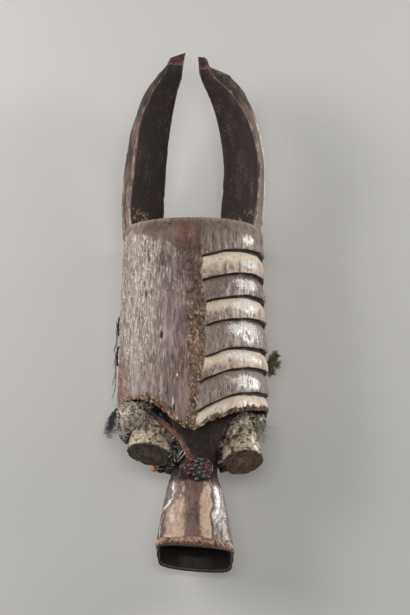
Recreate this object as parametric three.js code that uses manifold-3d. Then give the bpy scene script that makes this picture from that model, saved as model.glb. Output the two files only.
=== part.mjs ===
// A horned crest mask carved from one block of wood, lying as it is worn: helmet dome upward, muzzle
// towards -Y, horns towards +Y. Two branch-wood eyes sit in sockets under the brow, bedded in resin and fibre.
// Millimetres, +Z up.
import * as THREE from 'three';
import { mergeVertices } from 'three/addons/utils/BufferGeometryUtils.js';
import Module from 'manifold-3d';

const wasm = await Module();
wasm.setup();

// Clearance kept between neighbouring pieces
const GAP = 0.3;

// Flat spots may leave out corners that lie this close to them, resin lumps more than wood
const SIMPLIFY = 0.18;
const ROUGHER = 0.3;

// Moves the finished mask so that its footprint is centred on the origin
const TO_ORIGIN = [-1.1, -14.3, 0];

// Helmet: a barrel vault on straight side walls
const HELMET = {
  back: 106,
  halfWidthBack: 86,
  halfWidthFront: 90,
  springing: 58,
  crownBack: 128,
  crownFront: 135,
  wall: 10,
  crownThickness: 15,
};
// Front edge of the helmet: angle round the vault from the right-hand springing, in degrees, and its y
const BROW = [
  [0, -121], [28, -129], [58, -139], [80, -154], [90, -162], [103, -148], [119, -128], [145, -118], [180, -126],
];
// Shares of the vault's length at which one carved band of the right side ends and the next begins
const BAND_ENDS = [0, 0.17, 0.293, 0.408, 0.525, 0.674, 0.781, 0.908, 1];
// At each of those lines: how far it leans back on the right, and the angle at which it runs out
const BAND_LEAN = [0, 14, 8, 6, 3, 1, 0, 1, 0];
const BAND_INNER = [84, 84, 84.5, 82, 81, 82.5, 86.5, 88.5, 88.5];
const BAND_DROOP = { from: 56, over: 28, drop: 2.6 };
const BAND_RISE = 3.8;
const BAND_GROOVE = 1.9;

// Hollow for the wearer's head
const CAVITY = { back: 93, front: -88, endRounding: 26 };

// Neck and muzzle: y, centre x, half-width, top z, bottom z
const MUZZLE = [
  [-98, 0, 76, 104, 20],
  [-116, 1, 72, 109, 19],
  [-130, 2, 61, 112, 19],
  [-145, 2.5, 47, 111, 20],
  [-160, 3, 37, 107.5, 22],
  [-175, 3, 30.5, 103, 24],
  [-190, 3, 27.5, 99.5, 26],
  [-205, 3, 28.5, 98.5, 26],
  [-225, 3.3, 34.5, 99.5, 24.5],
  [-250, 3.6, 39.5, 101, 23],
  [-274, 4, 42.8, 102, 22],
];
const LIP = { centreX: 4, y: -297, halfWidth: 45, top: 102, bottom: 22, slopeX: -0.08, slopeZ: 0.236 };
const LIP_WALL = { side: 3.5, top: 10.5, bottom: 9.5 };
const MOUTH_DEPTH = 82;
// Powers of the arcs above and below the muzzle: round along the neck, nearly square at the lips, where the
// mouth's upper edge is flatter than the muzzle's top
const ARCH_ROUND = 1.15;
const ARCH_SQUARE = 0.6;
const MOUTH_RISE = 10;
const SQUARE_FROM = 235;
// Hollow in the neck's left shoulder: y, then x and z of its upper edge and of its foot
const SCOOP = [
  [-150, -33, 112, -37, 90],
  [-158, -23, 110, -34, 80],
  [-166, -15.5, 106, -31, 74],
  [-175, -9, 103, -28.5, 71],
  [-183, -3, 101, -27, 70],
  [-189, -3, 101, -27, 71],
  [-193, -8, 101, -28, 76],
  [-196, -19, 100, -31, 88],
];
const SCOOP_TOP = 126;
const SCOOP_SIDE = -60;

// Horns: three edges of a roof-shaped section from the helmet on, then the cut end's upper and lower corners
const LEFT_HORN = {
  outer: [
    [-84.3, 92, 69], [-88, 130, 72], [-86.5, 165, 75], [-82, 202, 79],
    [-75, 240, 85], [-60, 280, 92], [-42, 306, 97],
  ],
  ridge: [
    [-73, 92, 91], [-77, 130, 95], [-73.5, 165, 98], [-70, 202, 102],
    [-63.5, 243, 105], [-48, 281, 108], [-33, 303, 109],
  ],
  inner: [
    [-37, 92, 46], [-35.5, 130, 49], [-33.5, 165, 58], [-31.5, 202, 67],
    [-26.5, 243, 78], [-19.5, 280, 89], [-13, 302, 97],
  ],
  shoulder: [[-31, 317, 97], [-29.5, 315.5, 105], [-11.5, 316, 102.5]],
  tip: [[-28, 328, 91], [-26, 329, 95], [-8.5, 336.5, 93]],
};
const RIGHT_HORN = {
  outer: [
    [84.3, 92, 69], [88, 130, 72], [89.5, 165, 75], [89, 202, 79],
    [81.5, 243, 86], [66, 281, 91], [47, 304, 96],
  ],
  ridge: [
    [73.5, 92, 91], [80, 130, 95], [83, 165, 98], [81, 200, 102],
    [70, 240, 105], [51, 271, 108], [28, 294, 110],
  ],
  inner: [
    [35, 92, 46], [34.5, 130, 49], [37, 165, 56], [38.5, 198, 62],
    [32, 243, 73], [21.5, 276, 84], [12, 296, 94],
  ],
  shoulder: [[22.5, 315, 97], [18.5, 310, 105], [8, 309.5, 103]],
  tip: [[19.5, 322, 92], [15.5, 329.5, 94], [6.8, 330.5, 93.5]],
};
const HORN_BOTTOM = { base: 34, tip: 84 };

// Eyes: centre of the cut end, unit axis pointing out, radii at the base and the end, and length. Profiles of
// the socket and of its packing are heights from the socket's floor with radii; lumps are centres with radii
const LEFT_EYE = {
  end: [-50, -179.5, 85], axis: [-0.184, -0.951, 0.252], baseRadius: 21.5, endRadius: 27.5, length: 68,
  socket: [[-GAP, 36], [45, 36], [68, 37.5], [90, 40]],
  packing: [[0, 35.4], [17, 35.6], [27, 35], [34, 31], [38, 25]],
  lumps: [
    { centre: [-22, -164, 78], radii: [12, 31, 16] },
    { centre: [-77, -138, 50], radii: [11, 20, 20] },
    { centre: [-66, -133, 90], radii: [20, 17, 20] },
  ],
};
const RIGHT_EYE = {
  end: [60, -188.5, 84], axis: [0.156, -0.917, 0.367], baseRadius: 18.5, endRadius: 25, length: 70,
  socket: [[-GAP, 28.5], [92, 33]],
  packing: [[0, 27.6], [9, 28.4], [15, 27], [19, 22], [22, 18]],
  lumps: [{ centre: [37, -164, 74], radii: [12, 32, 16] }, { centre: [81, -132, 52], radii: [8, 12, 16] }],
};

// Seeds pressed into a resin pad on top of the neck
const SEED_PAD = { centre: [8, -199.5, 97.5], radii: [17, 15, 6.5] };
const SEED = { count: 19, spacing: 3.55, radii: [2.85, 2.45, 2.45] };
const SEED_SINK = 0.6;
const RED_SEEDS = [5, 8, 9, 12, 13, 14, 16];

// Seeds and a bead held by a resin lump on the neck's left flank
const FLANK_LUMP = { centre: [-26, -187, 54], radii: [9, 8, 8] };
const FLANK_SEEDS = [{ name: 'dark_seed_near', centre: [-36.5, -189, 53], radius: 4.6 }];
const FLANK_BEAD = { centre: [-45, -188, 51], radius: 3.9 };

// Cord stitched out and in through the left wall, and the feathers that its outer stitches hold
const CORD = { radius: 1.4, holes: [2, -21, -36, -59], height: 50, clear: 0.8, bend: 2.4 };
const FRINGE = [
  { y: -3, reach: [-2, -42, 13] },
  { y: -14, reach: [-3, -44, -9] },
  { y: -41, reach: [-2.5, -46, 12] },
  { y: -52, reach: [-3, -47, -10] },
];
const FRINGE_OUT = 2 * CORD.radius + CORD.clear + 1.9;
// Feathers tied to a stem through the wall, on both sides
const TUFT_STEM = { radius: 1.6, length: 14 };
const LEFT_TUFT = { root: [-89.5, -114, 48], feathers: [[-8, -36, -5], [-11.5, -33, 3], [-5, -29, 8]] };
const RIGHT_TUFT = { root: [88.5, -55, 50], feathers: [[13, 9, 6], [15, -4, 1], [6, -16, -3]] };
const FEATHER = { width: 6, thickness: 1 };
const QUILLS = [
  { name: 'white_quill_long', from: [-19.5, -186, 83.5], to: [-10.8, -177.4, 99.5], radius: 1.3 },
  { name: 'white_quill_short', from: [-16, -186.5, 84.5], to: [-7.4, -180.6, 101.5], radius: 1.1 },
];

const COLOURS = {
  wood: 0x4a3730,
  branch: 0xb0a48c,
  resin: 0x3a2f27,
  seedRed: 0x8e1420,
  seedGrey: 0x4c504a,
  bead: 0xb06a24,
  fibre: 0x1c1a18,
  feather: 0x24282a,
  feather_brown: 0x4a4a30,
  quill: 0xc9c2b4,
};

const radians = THREE.MathUtils.degToRad;
const mix = THREE.MathUtils.lerp;
const smooth = THREE.MathUtils.smoothstep;

// Piecewise cubic through rows of numbers whose first entry is the parameter
function valuesAt(rows, t) {
  const last = rows.length - 1;
  const rising = rows[last][0] > rows[0][0];
  let i = 0;
  while (i < last - 1 && (rising ? t > rows[i + 1][0] : t < rows[i + 1][0])) i += 1;
  const before = rows[Math.max(i - 1, 0)];
  const from = rows[i];
  const to = rows[i + 1];
  const after = rows[Math.min(i + 2, last)];
  const span = to[0] - from[0];
  const u = THREE.MathUtils.clamp((t - from[0]) / span, 0, 1);
  return from.map((value, k) => {
    const startSlope = ((to[k] - before[k]) / (to[0] - before[0])) * span;
    const endSlope = ((after[k] - value) / (after[0] - from[0])) * span;
    const rise = to[k] - value;
    const bend = 3 * rise - 2 * startSlope - endSlope + u * (startSlope + endSlope - 2 * rise);
    return value + u * (startSlope + u * bend);
  });
}

// Straight lines through matching lists of parameters and values
function linearAt(parameters, values, t) {
  let i = 0;
  while (i < parameters.length - 2 && t > parameters[i + 1]) i += 1;
  const part = (t - parameters[i]) / (parameters[i + 1] - parameters[i]);
  return mix(values[i], values[i + 1], THREE.MathUtils.clamp(part, 0, 1));
}

// One closed solid through a stack of equal rings, with a fan of triangles over each end
function loft(rings, caps = []) {
  const count = rings[0].length;
  const points = rings.flat();
  const index = [];
  for (let r = 0; r + 1 < rings.length; r += 1) {
    for (let i = 0; i < count; i += 1) {
      const a = r * count + i;
      const b = r * count + ((i + 1) % count);
      index.push(a, b, a + count, b, b + count, a + count);
    }
  }
  [0, rings.length - 1].forEach((r, end) => {
    const middle = rings[r].reduce((sum, p) => sum.add(p), new THREE.Vector3()).divideScalar(count);
    points.push(caps[end] ?? middle);
    for (let i = 0; i < count; i += 1) {
      const a = r * count + i;
      const b = r * count + ((i + 1) % count);
      index.push(...(end ? [a, b, points.length - 1] : [b, a, points.length - 1]));
    }
  });
  const geometry = new THREE.BufferGeometry().setFromPoints(points);
  geometry.setIndex(index);
  return signedVolume(geometry) < 0 ? flipped(geometry) : geometry;
}

function signedVolume(geometry) {
  const position = geometry.getAttribute('position');
  const index = geometry.getIndex();
  const corner = (i) => new THREE.Vector3().fromBufferAttribute(position, index.getX(i));
  let volume = 0;
  for (let i = 0; i < index.count; i += 3) volume += corner(i).dot(corner(i + 1).cross(corner(i + 2))) / 6;
  return volume;
}

function flipped(geometry) {
  const turned = Array.from(geometry.getIndex().array);
  for (let i = 0; i < turned.length; i += 3) [turned[i], turned[i + 1]] = [turned[i + 1], turned[i]];
  geometry.setIndex(turned);
  return geometry;
}

// Between three.js geometry and a solid that can be joined and cut
function solidOf(geometry) {
  const bare = geometry.clone();
  bare.deleteAttribute('normal');
  bare.deleteAttribute('uv');
  const merged = mergeVertices(bare, 1e-4);
  return new wasm.Manifold(new wasm.Mesh({
    numProp: 3,
    vertProperties: new Float32Array(merged.getAttribute('position').array),
    triVerts: new Uint32Array(merged.getIndex().array),
  }));
}

function geometryOf(solid) {
  const { vertProperties, triVerts } = solid.getMesh();
  const geometry = new THREE.BufferGeometry();
  geometry.setAttribute('position', new THREE.Float32BufferAttribute(vertProperties, 3));
  geometry.setIndex(Array.from(triVerts));
  geometry.computeVertexNormals();
  return geometry;
}

// Helmet surface

function helmetHalfWidth(y) {
  return mix(HELMET.halfWidthBack, HELMET.halfWidthFront, smooth(-y, -HELMET.back, 120));
}

function helmetCrown(y) {
  return mix(HELMET.crownBack, HELMET.crownFront, smooth(-y, -HELMET.back, 120));
}

const WALL_STEPS = 2;
const VAULT_STEPS = 28;

// Angles round the section from the right floor edge to the left one; the walls count as 0 and 180
function sectionStations() {
  const stations = [];
  for (let i = 0; i < WALL_STEPS; i += 1) stations.push({ angle: 0, wall: i / WALL_STEPS });
  for (let i = 0; i <= VAULT_STEPS; i += 1) stations.push({ angle: (180 * i) / VAULT_STEPS, wall: 1 });
  for (let i = WALL_STEPS - 1; i >= 0; i -= 1) stations.push({ angle: 180, wall: i / WALL_STEPS });
  return stations;
}

// Height of the carved bands above the vault at a share of its length
function bandRelief(share) {
  const band = BAND_ENDS.findIndex((end, i) => share < BAND_ENDS[i + 1]);
  if (band < 0) return BAND_RISE;
  const within = (share - BAND_ENDS[band]) / (BAND_ENDS[band + 1] - BAND_ENDS[band]);
  const start = band === 0 ? BAND_RISE * 0.6 : -BAND_GROOVE;
  return mix(start, BAND_RISE, Math.sqrt(Math.sin((Math.PI / 2) * within)));
}

// How far a band's line lies off an even share of the vault: it leans and droops, but not at the ends
function bandSlip(angle, share) {
  const lean = linearAt(BAND_ENDS, BAND_LEAN, share) * (Math.cos(radians(angle)) - 0.47);
  const towardsCrown = THREE.MathUtils.clamp((angle - BAND_DROOP.from) / BAND_DROOP.over, 0, 1.2);
  const droop = BAND_DROOP.drop * towardsCrown ** 2;
  const inside = smooth(share, 0, 0.08) * (1 - smooth(share, 0.955, 0.998)) * (1 - smooth(angle, 92, 112));
  return (lean - droop) * inside;
}

function helmetPoint({ angle, wall }, share) {
  const front = valuesAt(BROW, angle)[1];
  const y = mix(HELMET.back, front, share) + bandSlip(angle, share);
  const a = radians(angle);
  const inner = linearAt(BAND_ENDS, BAND_INNER, share);
  const banded = 1 - smooth(angle, inner - 2.5, inner + 0.5);
  const backBevel = 7 * Math.sin(a) ** 2 * (1 - smooth(HELMET.back - y, 0, 26)) ** 2;
  const relief = banded * (bandRelief(share) - 2) - backBevel;
  const halfWidth = helmetHalfWidth(y) + relief;
  const rise = helmetCrown(y) - HELMET.springing + relief;
  const taper = mix(4, 0, wall);
  const power = 0.92;
  const across = Math.sign(Math.cos(a)) * Math.abs(Math.cos(a)) ** power;
  return new THREE.Vector3(
    across * (halfWidth - taper),
    y,
    HELMET.springing * wall + rise * Math.sin(a) ** power,
  );
}

// Steps of the hollow under the brow: how far it lies inside the brow's edge and behind it
const BROW_HOLLOW = [{ inset: 8, back: 3, floor: 22 }, { inset: 13, back: 22, floor: 27 }];
const BROW_HOLLOW_MIDDLE = [0, -108, 66];

function browHollowPoint(edge, { inset, back, floor }) {
  const outward = new THREE.Vector2(edge.x, Math.max(edge.z - 40, 0));
  const scale = Math.max(outward.length() - inset, 1) / outward.length();
  return new THREE.Vector3(
    edge.x * scale,
    Math.min(edge.y + back, -112),
    Math.max(floor, edge.z > 40 ? 40 + (edge.z - 40) * scale : edge.z),
  );
}

function helmetBlock() {
  const shares = [];
  for (let band = 0; band + 1 < BAND_ENDS.length; band += 1) {
    const from = BAND_ENDS[band];
    const to = BAND_ENDS[band + 1];
    [0.0001, 0.12, 0.5].forEach((part) => shares.push(mix(from, to, part)));
    shares.push(to - 0.004);
  }
  const stations = sectionStations();
  const rings = shares.map((share) => stations.map((station) => helmetPoint(station, share)));
  const edge = rings[rings.length - 1];
  BROW_HOLLOW.forEach((step) => rings.push(edge.map((point) => browHollowPoint(point, step))));
  return loft(rings, [undefined, new THREE.Vector3(...BROW_HOLLOW_MIDDLE)]);
}

// A shallow three-sided cutter laid along a surface, centred on a place, along a reach and open towards up
function notchTool(place, along, up, { length, width, depth }) {
  const side = new THREE.Vector3().crossVectors(along, up).normalize();
  const lift = new THREE.Vector3().crossVectors(side, along).normalize();
  const corners = [[-width / 2, depth], [0, -depth], [width / 2, depth]];
  const ring = (shift) => corners.map(([across, high]) => place.clone()
    .addScaledVector(along, shift)
    .addScaledVector(side, across)
    .addScaledVector(lift, high));
  return loft([ring(-length / 2), ring(length / 2)]);
}

// Short cuts side by side along the brow's edge and down the crusted strip on the crown
const BROW_NOTCH = { count: 20, from: 12, to: 168, length: 9, width: 3, depth: 1.7 };
const STRIP_NOTCH = { count: 12, angle: 86.5, length: 12, width: 3.4, depth: 1.5 };

function surfaceNotches() {
  const tools = [];
  const add = (angle, share, reachAngle, reachShare, sizes) => {
    const place = helmetPoint({ angle, wall: 1 }, share);
    const ahead = helmetPoint({ angle: angle + reachAngle, wall: 1 }, share + reachShare);
    const along = ahead.sub(place).normalize();
    const up = new THREE.Vector3(place.x, 0, place.z - HELMET.springing + 8).normalize();
    tools.push(notchTool(place, along, up, sizes));
  };
  for (let i = 0; i < BROW_NOTCH.count; i += 1) {
    const angle = mix(BROW_NOTCH.from, BROW_NOTCH.to, i / (BROW_NOTCH.count - 1));
    add(angle, 0.991, i % 2 ? 0.4 : -0.5, -0.03, BROW_NOTCH);
  }
  for (let i = 0; i < STRIP_NOTCH.count; i += 1) {
    const share = mix(0.06, 0.95, i / (STRIP_NOTCH.count - 1));
    add(STRIP_NOTCH.angle, share, 3, i % 2 ? 0.008 : -0.004, STRIP_NOTCH);
  }
  return tools;
}

function headCavity() {
  const rings = [];
  const { back, front, endRounding } = CAVITY;
  const fromEnd = [0, 4, 12, endRounding];
  const ys = [...fromEnd.map((step) => back - step), 0, ...fromEnd.map((step) => front + step).reverse()];
  ys.forEach((y) => {
    const toEnd = Math.min(back - y, y - front, endRounding) / endRounding;
    const size = 0.72 + 0.28 * Math.sqrt(1 - (1 - toEnd) ** 2);
    const halfWidth = (helmetHalfWidth(y) - HELMET.wall) * mix(0.93, 1, (size - 0.72) / 0.28);
    const crown = (helmetCrown(y) - HELMET.crownThickness) * size;
    const ring = [new THREE.Vector3(halfWidth - 2, y, -5)];
    for (let i = 0; i <= 18; i += 1) {
      const a = (Math.PI * i) / 18;
      ring.push(new THREE.Vector3(Math.cos(a) * halfWidth, y, 52 + (crown - 52) * Math.sin(a)));
    }
    ring.push(new THREE.Vector3(2 - halfWidth, y, -5));
    rings.push(ring);
  });
  return loft(rings);
}

// Neck and muzzle

const ARC_STEPS = 10;

// A ring with an arched top, straight sides and an arched bottom
function archedRing(centreX, halfWidth, top, bottom, yAt, square = 0, squareRise = undefined) {
  const roundRise = Math.min(0.54 * halfWidth, 40);
  const rise = mix(roundRise, squareRise ?? roundRise, square);
  const fall = Math.min(0.5 * halfWidth, 22);
  const power = mix(ARCH_ROUND, ARCH_SQUARE, square);
  const ring = [];
  const place = (x, z) => ring.push(new THREE.Vector3(x, yAt(x, z), z));
  for (let i = 0; i <= ARC_STEPS; i += 1) {
    const a = (Math.PI * i) / ARC_STEPS;
    place(centreX + halfWidth * Math.cos(a), top - rise + rise * Math.abs(Math.sin(a)) ** power);
  }
  for (let i = 0; i <= ARC_STEPS; i += 1) {
    const a = (Math.PI * i) / ARC_STEPS;
    place(centreX - halfWidth * Math.cos(a), bottom + fall - fall * Math.abs(Math.sin(a)) ** power);
  }
  return ring;
}

function lipPlane(x, z) {
  const middle = (LIP.top + LIP.bottom) / 2;
  return LIP.y + LIP.slopeX * (x - LIP.centreX) + LIP.slopeZ * (z - middle);
}

// The neck and muzzle, or the same grown by a clearance to cut what rests on it
function muzzleSolid(grow = 0) {
  const rings = MUZZLE.map(([y, x, halfWidth, top, bottom]) => {
    const square = smooth(-y, SQUARE_FROM, -LIP.y);
    return archedRing(x, halfWidth + grow, top + grow, bottom - grow, () => y, square);
  });
  const lipAt = (x, z) => lipPlane(x, z) - grow;
  rings.push(archedRing(LIP.centreX, LIP.halfWidth + grow, LIP.top + grow, LIP.bottom - grow, lipAt, 1));
  return loft(rings);
}

// Cutter that hollows the neck's left shoulder down to a sloping bed
function neckScoop(grow = 0) {
  const rings = SCOOP.map(([y, edgeX, edgeZ, footX, footZ]) => {
    const hollow = [mix(footX, edgeX, 0.5) + 1.5 + grow, mix(footZ, edgeZ, 0.5) - 1.25];
    const bed = [[footX + grow, footZ], hollow, [edgeX + grow, edgeZ]];
    const open = [[edgeX + grow, SCOOP_TOP], [SCOOP_SIDE, SCOOP_TOP], [SCOOP_SIDE, footZ - 4]];
    return [...bed, ...open].map(([x, z]) => new THREE.Vector3(x, y, z));
  });
  return loft(rings);
}

function mouthHollow() {
  const steps = [
    { depth: -4, flare: -1.5, narrow: 0 },
    { depth: 0, flare: 0, narrow: 0 },
    { depth: 12, flare: 2.2, narrow: 0 },
    { depth: 0.6 * MOUTH_DEPTH, flare: 3, narrow: 12 },
    { depth: 0.92 * MOUTH_DEPTH, flare: 3, narrow: 19 },
    { depth: MOUTH_DEPTH, flare: 10, narrow: 22 },
  ];
  const rings = steps.map(({ depth, flare, narrow }) => archedRing(
    LIP.centreX,
    LIP.halfWidth - LIP_WALL.side - flare - narrow,
    LIP.top - LIP_WALL.top - flare,
    LIP.bottom + LIP_WALL.bottom + flare,
    (x, z) => mix(lipPlane(x, z), LIP.y + 5, smooth(depth, 12, 0.6 * MOUTH_DEPTH)) + depth,
    1 - smooth(depth, 5, 0.7 * MOUTH_DEPTH),
    MOUTH_RISE,
  ));
  return loft(rings);
}

// Horns

const HORN_STEPS = 14;

function hornSolid({ outer, ridge, inner, shoulder, tip }) {
  const placed = (points) => points.map((p) => new THREE.Vector3(...p));
  const rails = [outer, ridge, inner].map((points) => new THREE.CatmullRomCurve3(placed(points), false, 'centripetal'));
  const sections = [];
  for (let i = 0; i <= HORN_STEPS; i += 1) {
    sections.push(rails.map((curve) => curve.getPoint(i / HORN_STEPS)));
  }
  sections.push(placed(shoulder), placed(tip));
  const rings = sections.map(([out, top, inn], i) => {
    const bottom = mix(HORN_BOTTOM.base, HORN_BOTTOM.tip, Math.min(1, i / (HORN_STEPS + 1)) ** 0.9);
    const outBottom = out.clone().lerp(inn, 0.08).setZ(Math.min(bottom, out.z - 9));
    const innBottom = inn.clone().lerp(out, 0.05).setZ(Math.min(bottom, inn.z - 6));
    const outMiddle = out.clone().lerp(top, 0.5).add(new THREE.Vector3(Math.sign(out.x) * 1.2, 0, 1.2));
    const innMiddle = inn.clone().lerp(top, 0.5).add(new THREE.Vector3(Math.sign(out.x) * 0.8, 0, -0.8));
    return [outBottom, out, outMiddle, top, innMiddle, inn, innBottom];
  });
  return loft(rings);
}

// Eyes, their sockets and their packing

// Places a solid of revolution, drawn along +Y from the socket's floor, on an eye's axis
function onEyeAxis(geometry, { end, axis, length }) {
  const direction = new THREE.Vector3(...axis).normalize();
  const base = new THREE.Vector3(...end).addScaledVector(direction, -length);
  const turn = new THREE.Quaternion().setFromUnitVectors(new THREE.Vector3(0, 1, 0), direction);
  return geometry.applyMatrix4(new THREE.Matrix4().compose(base, turn, new THREE.Vector3(1, 1, 1)));
}

function turned(profile, segments) {
  const points = profile.map(([radius, along]) => new THREE.Vector2(radius, along));
  return new THREE.LatheGeometry(points, segments);
}

// A solid of revolution on an eye's axis, from heights and radii; narrower is taken off each radius
function onProfile(eye, profile, segments, narrower = 0) {
  const [low] = profile[0];
  const [high] = profile[profile.length - 1];
  const rim = profile.map(([height, radius]) => [radius - narrower, height]);
  return onEyeAxis(turned([[0, low], ...rim, [0, high]], segments), eye);
}

function socketTool(eye, narrower = 0) {
  return onProfile(eye, eye.socket, 26, narrower);
}

function eyeSolid(eye, grow = 0) {
  const radiusAt = (along) => mix(eye.baseRadius, eye.endRadius, smooth(along, -10, eye.length)) + grow;
  const profile = [[0, -grow], [radiusAt(0), -grow]];
  [0.45, 0.85].forEach((part) => profile.push([radiusAt(part * eye.length), part * eye.length]));
  profile.push([eye.endRadius + grow, eye.length - 2.5]);
  profile.push([eye.endRadius - 1.2 + grow, eye.length + grow]);
  profile.push([0, eye.length + grow]);
  return onEyeAxis(turned(profile, 20), eye);
}

function blob({ centre, radii }, segments = 9, rows = 6) {
  return new THREE.SphereGeometry(1, segments, rows).scale(...radii).translate(...centre);
}

// A solid without what lies closer than a clearance to another one, sideways or lengthwise
function clearOf(solid, other) {
  const shifts = [[2 * GAP, -2 * GAP, 0], [-2 * GAP, -2 * GAP, 0]];
  return shifts.reduce((rest, shift) => rest.subtract(other.translate(shift)), solid);
}

function packingSolid(eye, body, stuckIn = []) {
  const [wedge, ...outerLumps] = eye.lumps.map((lump) => solidOf(blob(lump)));
  const neckLeft = solidOf(muzzleSolid(GAP))
    .subtract(solidOf(socketTool(eye, GAP)))
    .subtract(solidOf(neckScoop(-GAP)));
  const packing = outerLumps
    .reduce((rest, lump) => rest.add(clearOf(lump, body)), solidOf(onProfile(eye, eye.packing, 16)).add(wedge))
    .subtract(solidOf(eyeSolid(eye, GAP)))
    .subtract(neckLeft);
  return geometryOf(stuckIn.reduce((rest, rod) => rest.subtract(rod), packing).simplify(ROUGHER));
}

// Seeds on the neck and on its flank

// Height of the neck's arched top at a place on it
function neckTop(x, y) {
  const [, centreX, halfWidth, top] = valuesAt(MUZZLE, y);
  const rise = 0.54 * halfWidth;
  const across = THREE.MathUtils.clamp((x - centreX) / halfWidth, -1, 1);
  return top - rise + rise * Math.sqrt(1 - across * across) ** 1.15;
}

// Places in a sunflower spiral, from the middle outwards
function seedPlaces() {
  const places = [];
  for (let i = 0; i < SEED.count; i += 1) {
    const turn = i * Math.PI * (3 - Math.sqrt(5));
    const out = SEED.spacing * Math.sqrt(i + 0.5);
    const x = SEED_PAD.centre[0] + out * Math.cos(turn);
    const y = SEED_PAD.centre[1] + out * Math.sin(turn) * 0.92;
    const dx = (x - SEED_PAD.centre[0]) / SEED_PAD.radii[0];
    const dy = (y - SEED_PAD.centre[1]) / SEED_PAD.radii[1];
    const height = SEED_PAD.radii[2] * Math.sqrt(Math.max(0.05, 1 - dx * dx - dy * dy));
    const lowest = neckTop(x, y) + SEED.radii[2] + GAP;
    places.push({ x, y, z: Math.max(SEED_PAD.centre[2] + height - SEED_SINK, lowest), turn: turn * 1.7 });
  }
  return places;
}

function seedSolid({ x, y, z, turn }) {
  return new THREE.SphereGeometry(1, 7, 4).scale(...SEED.radii).rotateZ(turn).translate(x, y, z);
}

// A plainer shape round a seed, with its clearance, that hollows its bed
function seedBed({ x, y, z, turn }) {
  const radii = SEED.radii.map((radius) => radius + 3 * GAP);
  return new THREE.SphereGeometry(1, 5, 3).scale(...radii).rotateZ(turn).translate(x, y, z);
}

function flankPieces(body) {
  const ball = (radius) => blob({ centre: FLANK_BEAD.centre, radii: [radius, radius, radius] }, 8, 6);
  const pieces = FLANK_SEEDS.map(({ name, centre, radius }) => {
    const whole = solidOf(blob({ centre, radii: [radius + 1.6, radius, radius] }, 8, 6));
    return { name, solid: whole.subtract(solidOf(ball(FLANK_BEAD.radius + GAP))) };
  });
  const lump = pieces.reduce(
    (rest, { solid }) => rest.subtract(solid),
    solidOf(blob(FLANK_LUMP, 9, 6)).subtract(body),
  );
  return { lump, pieces, bead: ball(FLANK_BEAD.radius) };
}

// Stitched cord, feathers and quills

// The wall beside the cord, as the x of its outer and inner face
function leftWallAt(y) {
  const outer = 0.55 - helmetHalfWidth(y);
  return { outer, inner: outer + HELMET.wall };
}

function stitchPath() {
  const points = [];
  const away = CORD.radius + CORD.clear;
  CORD.holes.forEach((y, i) => {
    const { outer, inner } = leftWallAt(y);
    const bend = i % 2 ? -CORD.bend : CORD.bend;
    const stitch = [[inner + away, y + bend], [inner - 1.5, y], [outer + 1.5, y], [outer - away, y - bend]];
    if (i % 2) stitch.reverse();
    stitch.forEach(([x, at]) => points.push(new THREE.Vector3(x, at, CORD.height)));
  });
  return new THREE.CatmullRomCurve3(points, false, 'centripetal');
}

function cordHoles() {
  return CORD.holes.map((y) => {
    const { outer, inner } = leftWallAt(y);
    const radius = CORD.radius + 1.2;
    return solidOf(rodBetween([outer - 6, y, CORD.height], [inner + 8, y, CORD.height], radius, radius, 8));
  });
}

function cordAlong(path, radius, steps) {
  const section = new THREE.Shape().absarc(0, 0, radius, 0, 2 * Math.PI, false);
  return new THREE.ExtrudeGeometry(section, { steps, curveSegments: 3, extrudePath: path });
}

function rodBetween(from, to, radiusFrom, radiusTo, sides = 7) {
  const start = new THREE.Vector3(...from);
  const direction = new THREE.Vector3(...to).sub(start);
  const length = direction.length();
  const rod = new THREE.CylinderGeometry(radiusTo, radiusFrom, length, sides).translate(0, length / 2, 0);
  const turn = new THREE.Quaternion().setFromUnitVectors(new THREE.Vector3(0, 1, 0), direction.normalize());
  return rod.applyMatrix4(new THREE.Matrix4().compose(start, turn, new THREE.Vector3(1, 1, 1)));
}

// One feather: a leaf-shaped blade of few sides from its root along a reach, flat towards a direction
function featherBlade(root, reach, facing) {
  const along = new THREE.Vector3(...reach);
  const length = along.length();
  along.normalize();
  const across = new THREE.Vector3().crossVectors(along, new THREE.Vector3(...facing)).normalize();
  const flat = new THREE.Vector3().crossVectors(across, along);
  const basis = new THREE.Matrix4().makeBasis(across, along, flat).setPosition(...root);
  const blade = new THREE.SphereGeometry(1, 6, 4).scale(FEATHER.width / 2, length / 2, FEATHER.thickness / 2);
  return blade.translate(0, length / 2, 0).applyMatrix4(basis);
}

// The stem runs through the wall; the feathers spread from its outer end
function tuftSolid({ root, feathers }) {
  const side = Math.sign(root[0]);
  const outer = [root[0] + side * 3.2, root[1], root[2]];
  const inner = [outer[0] - side * TUFT_STEM.length, root[1], root[2]];
  let tuft = solidOf(rodBetween(inner, outer, TUFT_STEM.radius, TUFT_STEM.radius, 8));
  feathers.forEach((reach) => {
    tuft = tuft.add(solidOf(featherBlade([outer[0] - side * 0.6, outer[1], outer[2]], reach, [0, 0, 1])));
  });
  return tuft;
}

function tuftHole({ root }) {
  const side = Math.sign(root[0]);
  const far = (shift) => [root[0] + side * shift, root[1], root[2]];
  return solidOf(rodBetween(far(-20), far(8), TUFT_STEM.radius + 0.4, TUFT_STEM.radius + 0.4, 8));
}

// The carved block

function carvedBody() {
  let body = solidOf(helmetBlock()).add(solidOf(muzzleSolid()));
  [LEFT_HORN, RIGHT_HORN].forEach((horn) => { body = body.add(solidOf(hornSolid(horn))); });
  const hollows = [headCavity(), mouthHollow(), socketTool(LEFT_EYE), socketTool(RIGHT_EYE), neckScoop()];
  const cuts = [...hollows, ...surfaceNotches()].map(solidOf);
  const holes = [...cordHoles(), tuftHole(LEFT_TUFT), tuftHole(RIGHT_TUFT)];
  return [...cuts, ...holes].reduce((rest, cut) => rest.subtract(cut), body).simplify(SIMPLIFY);
}

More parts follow.
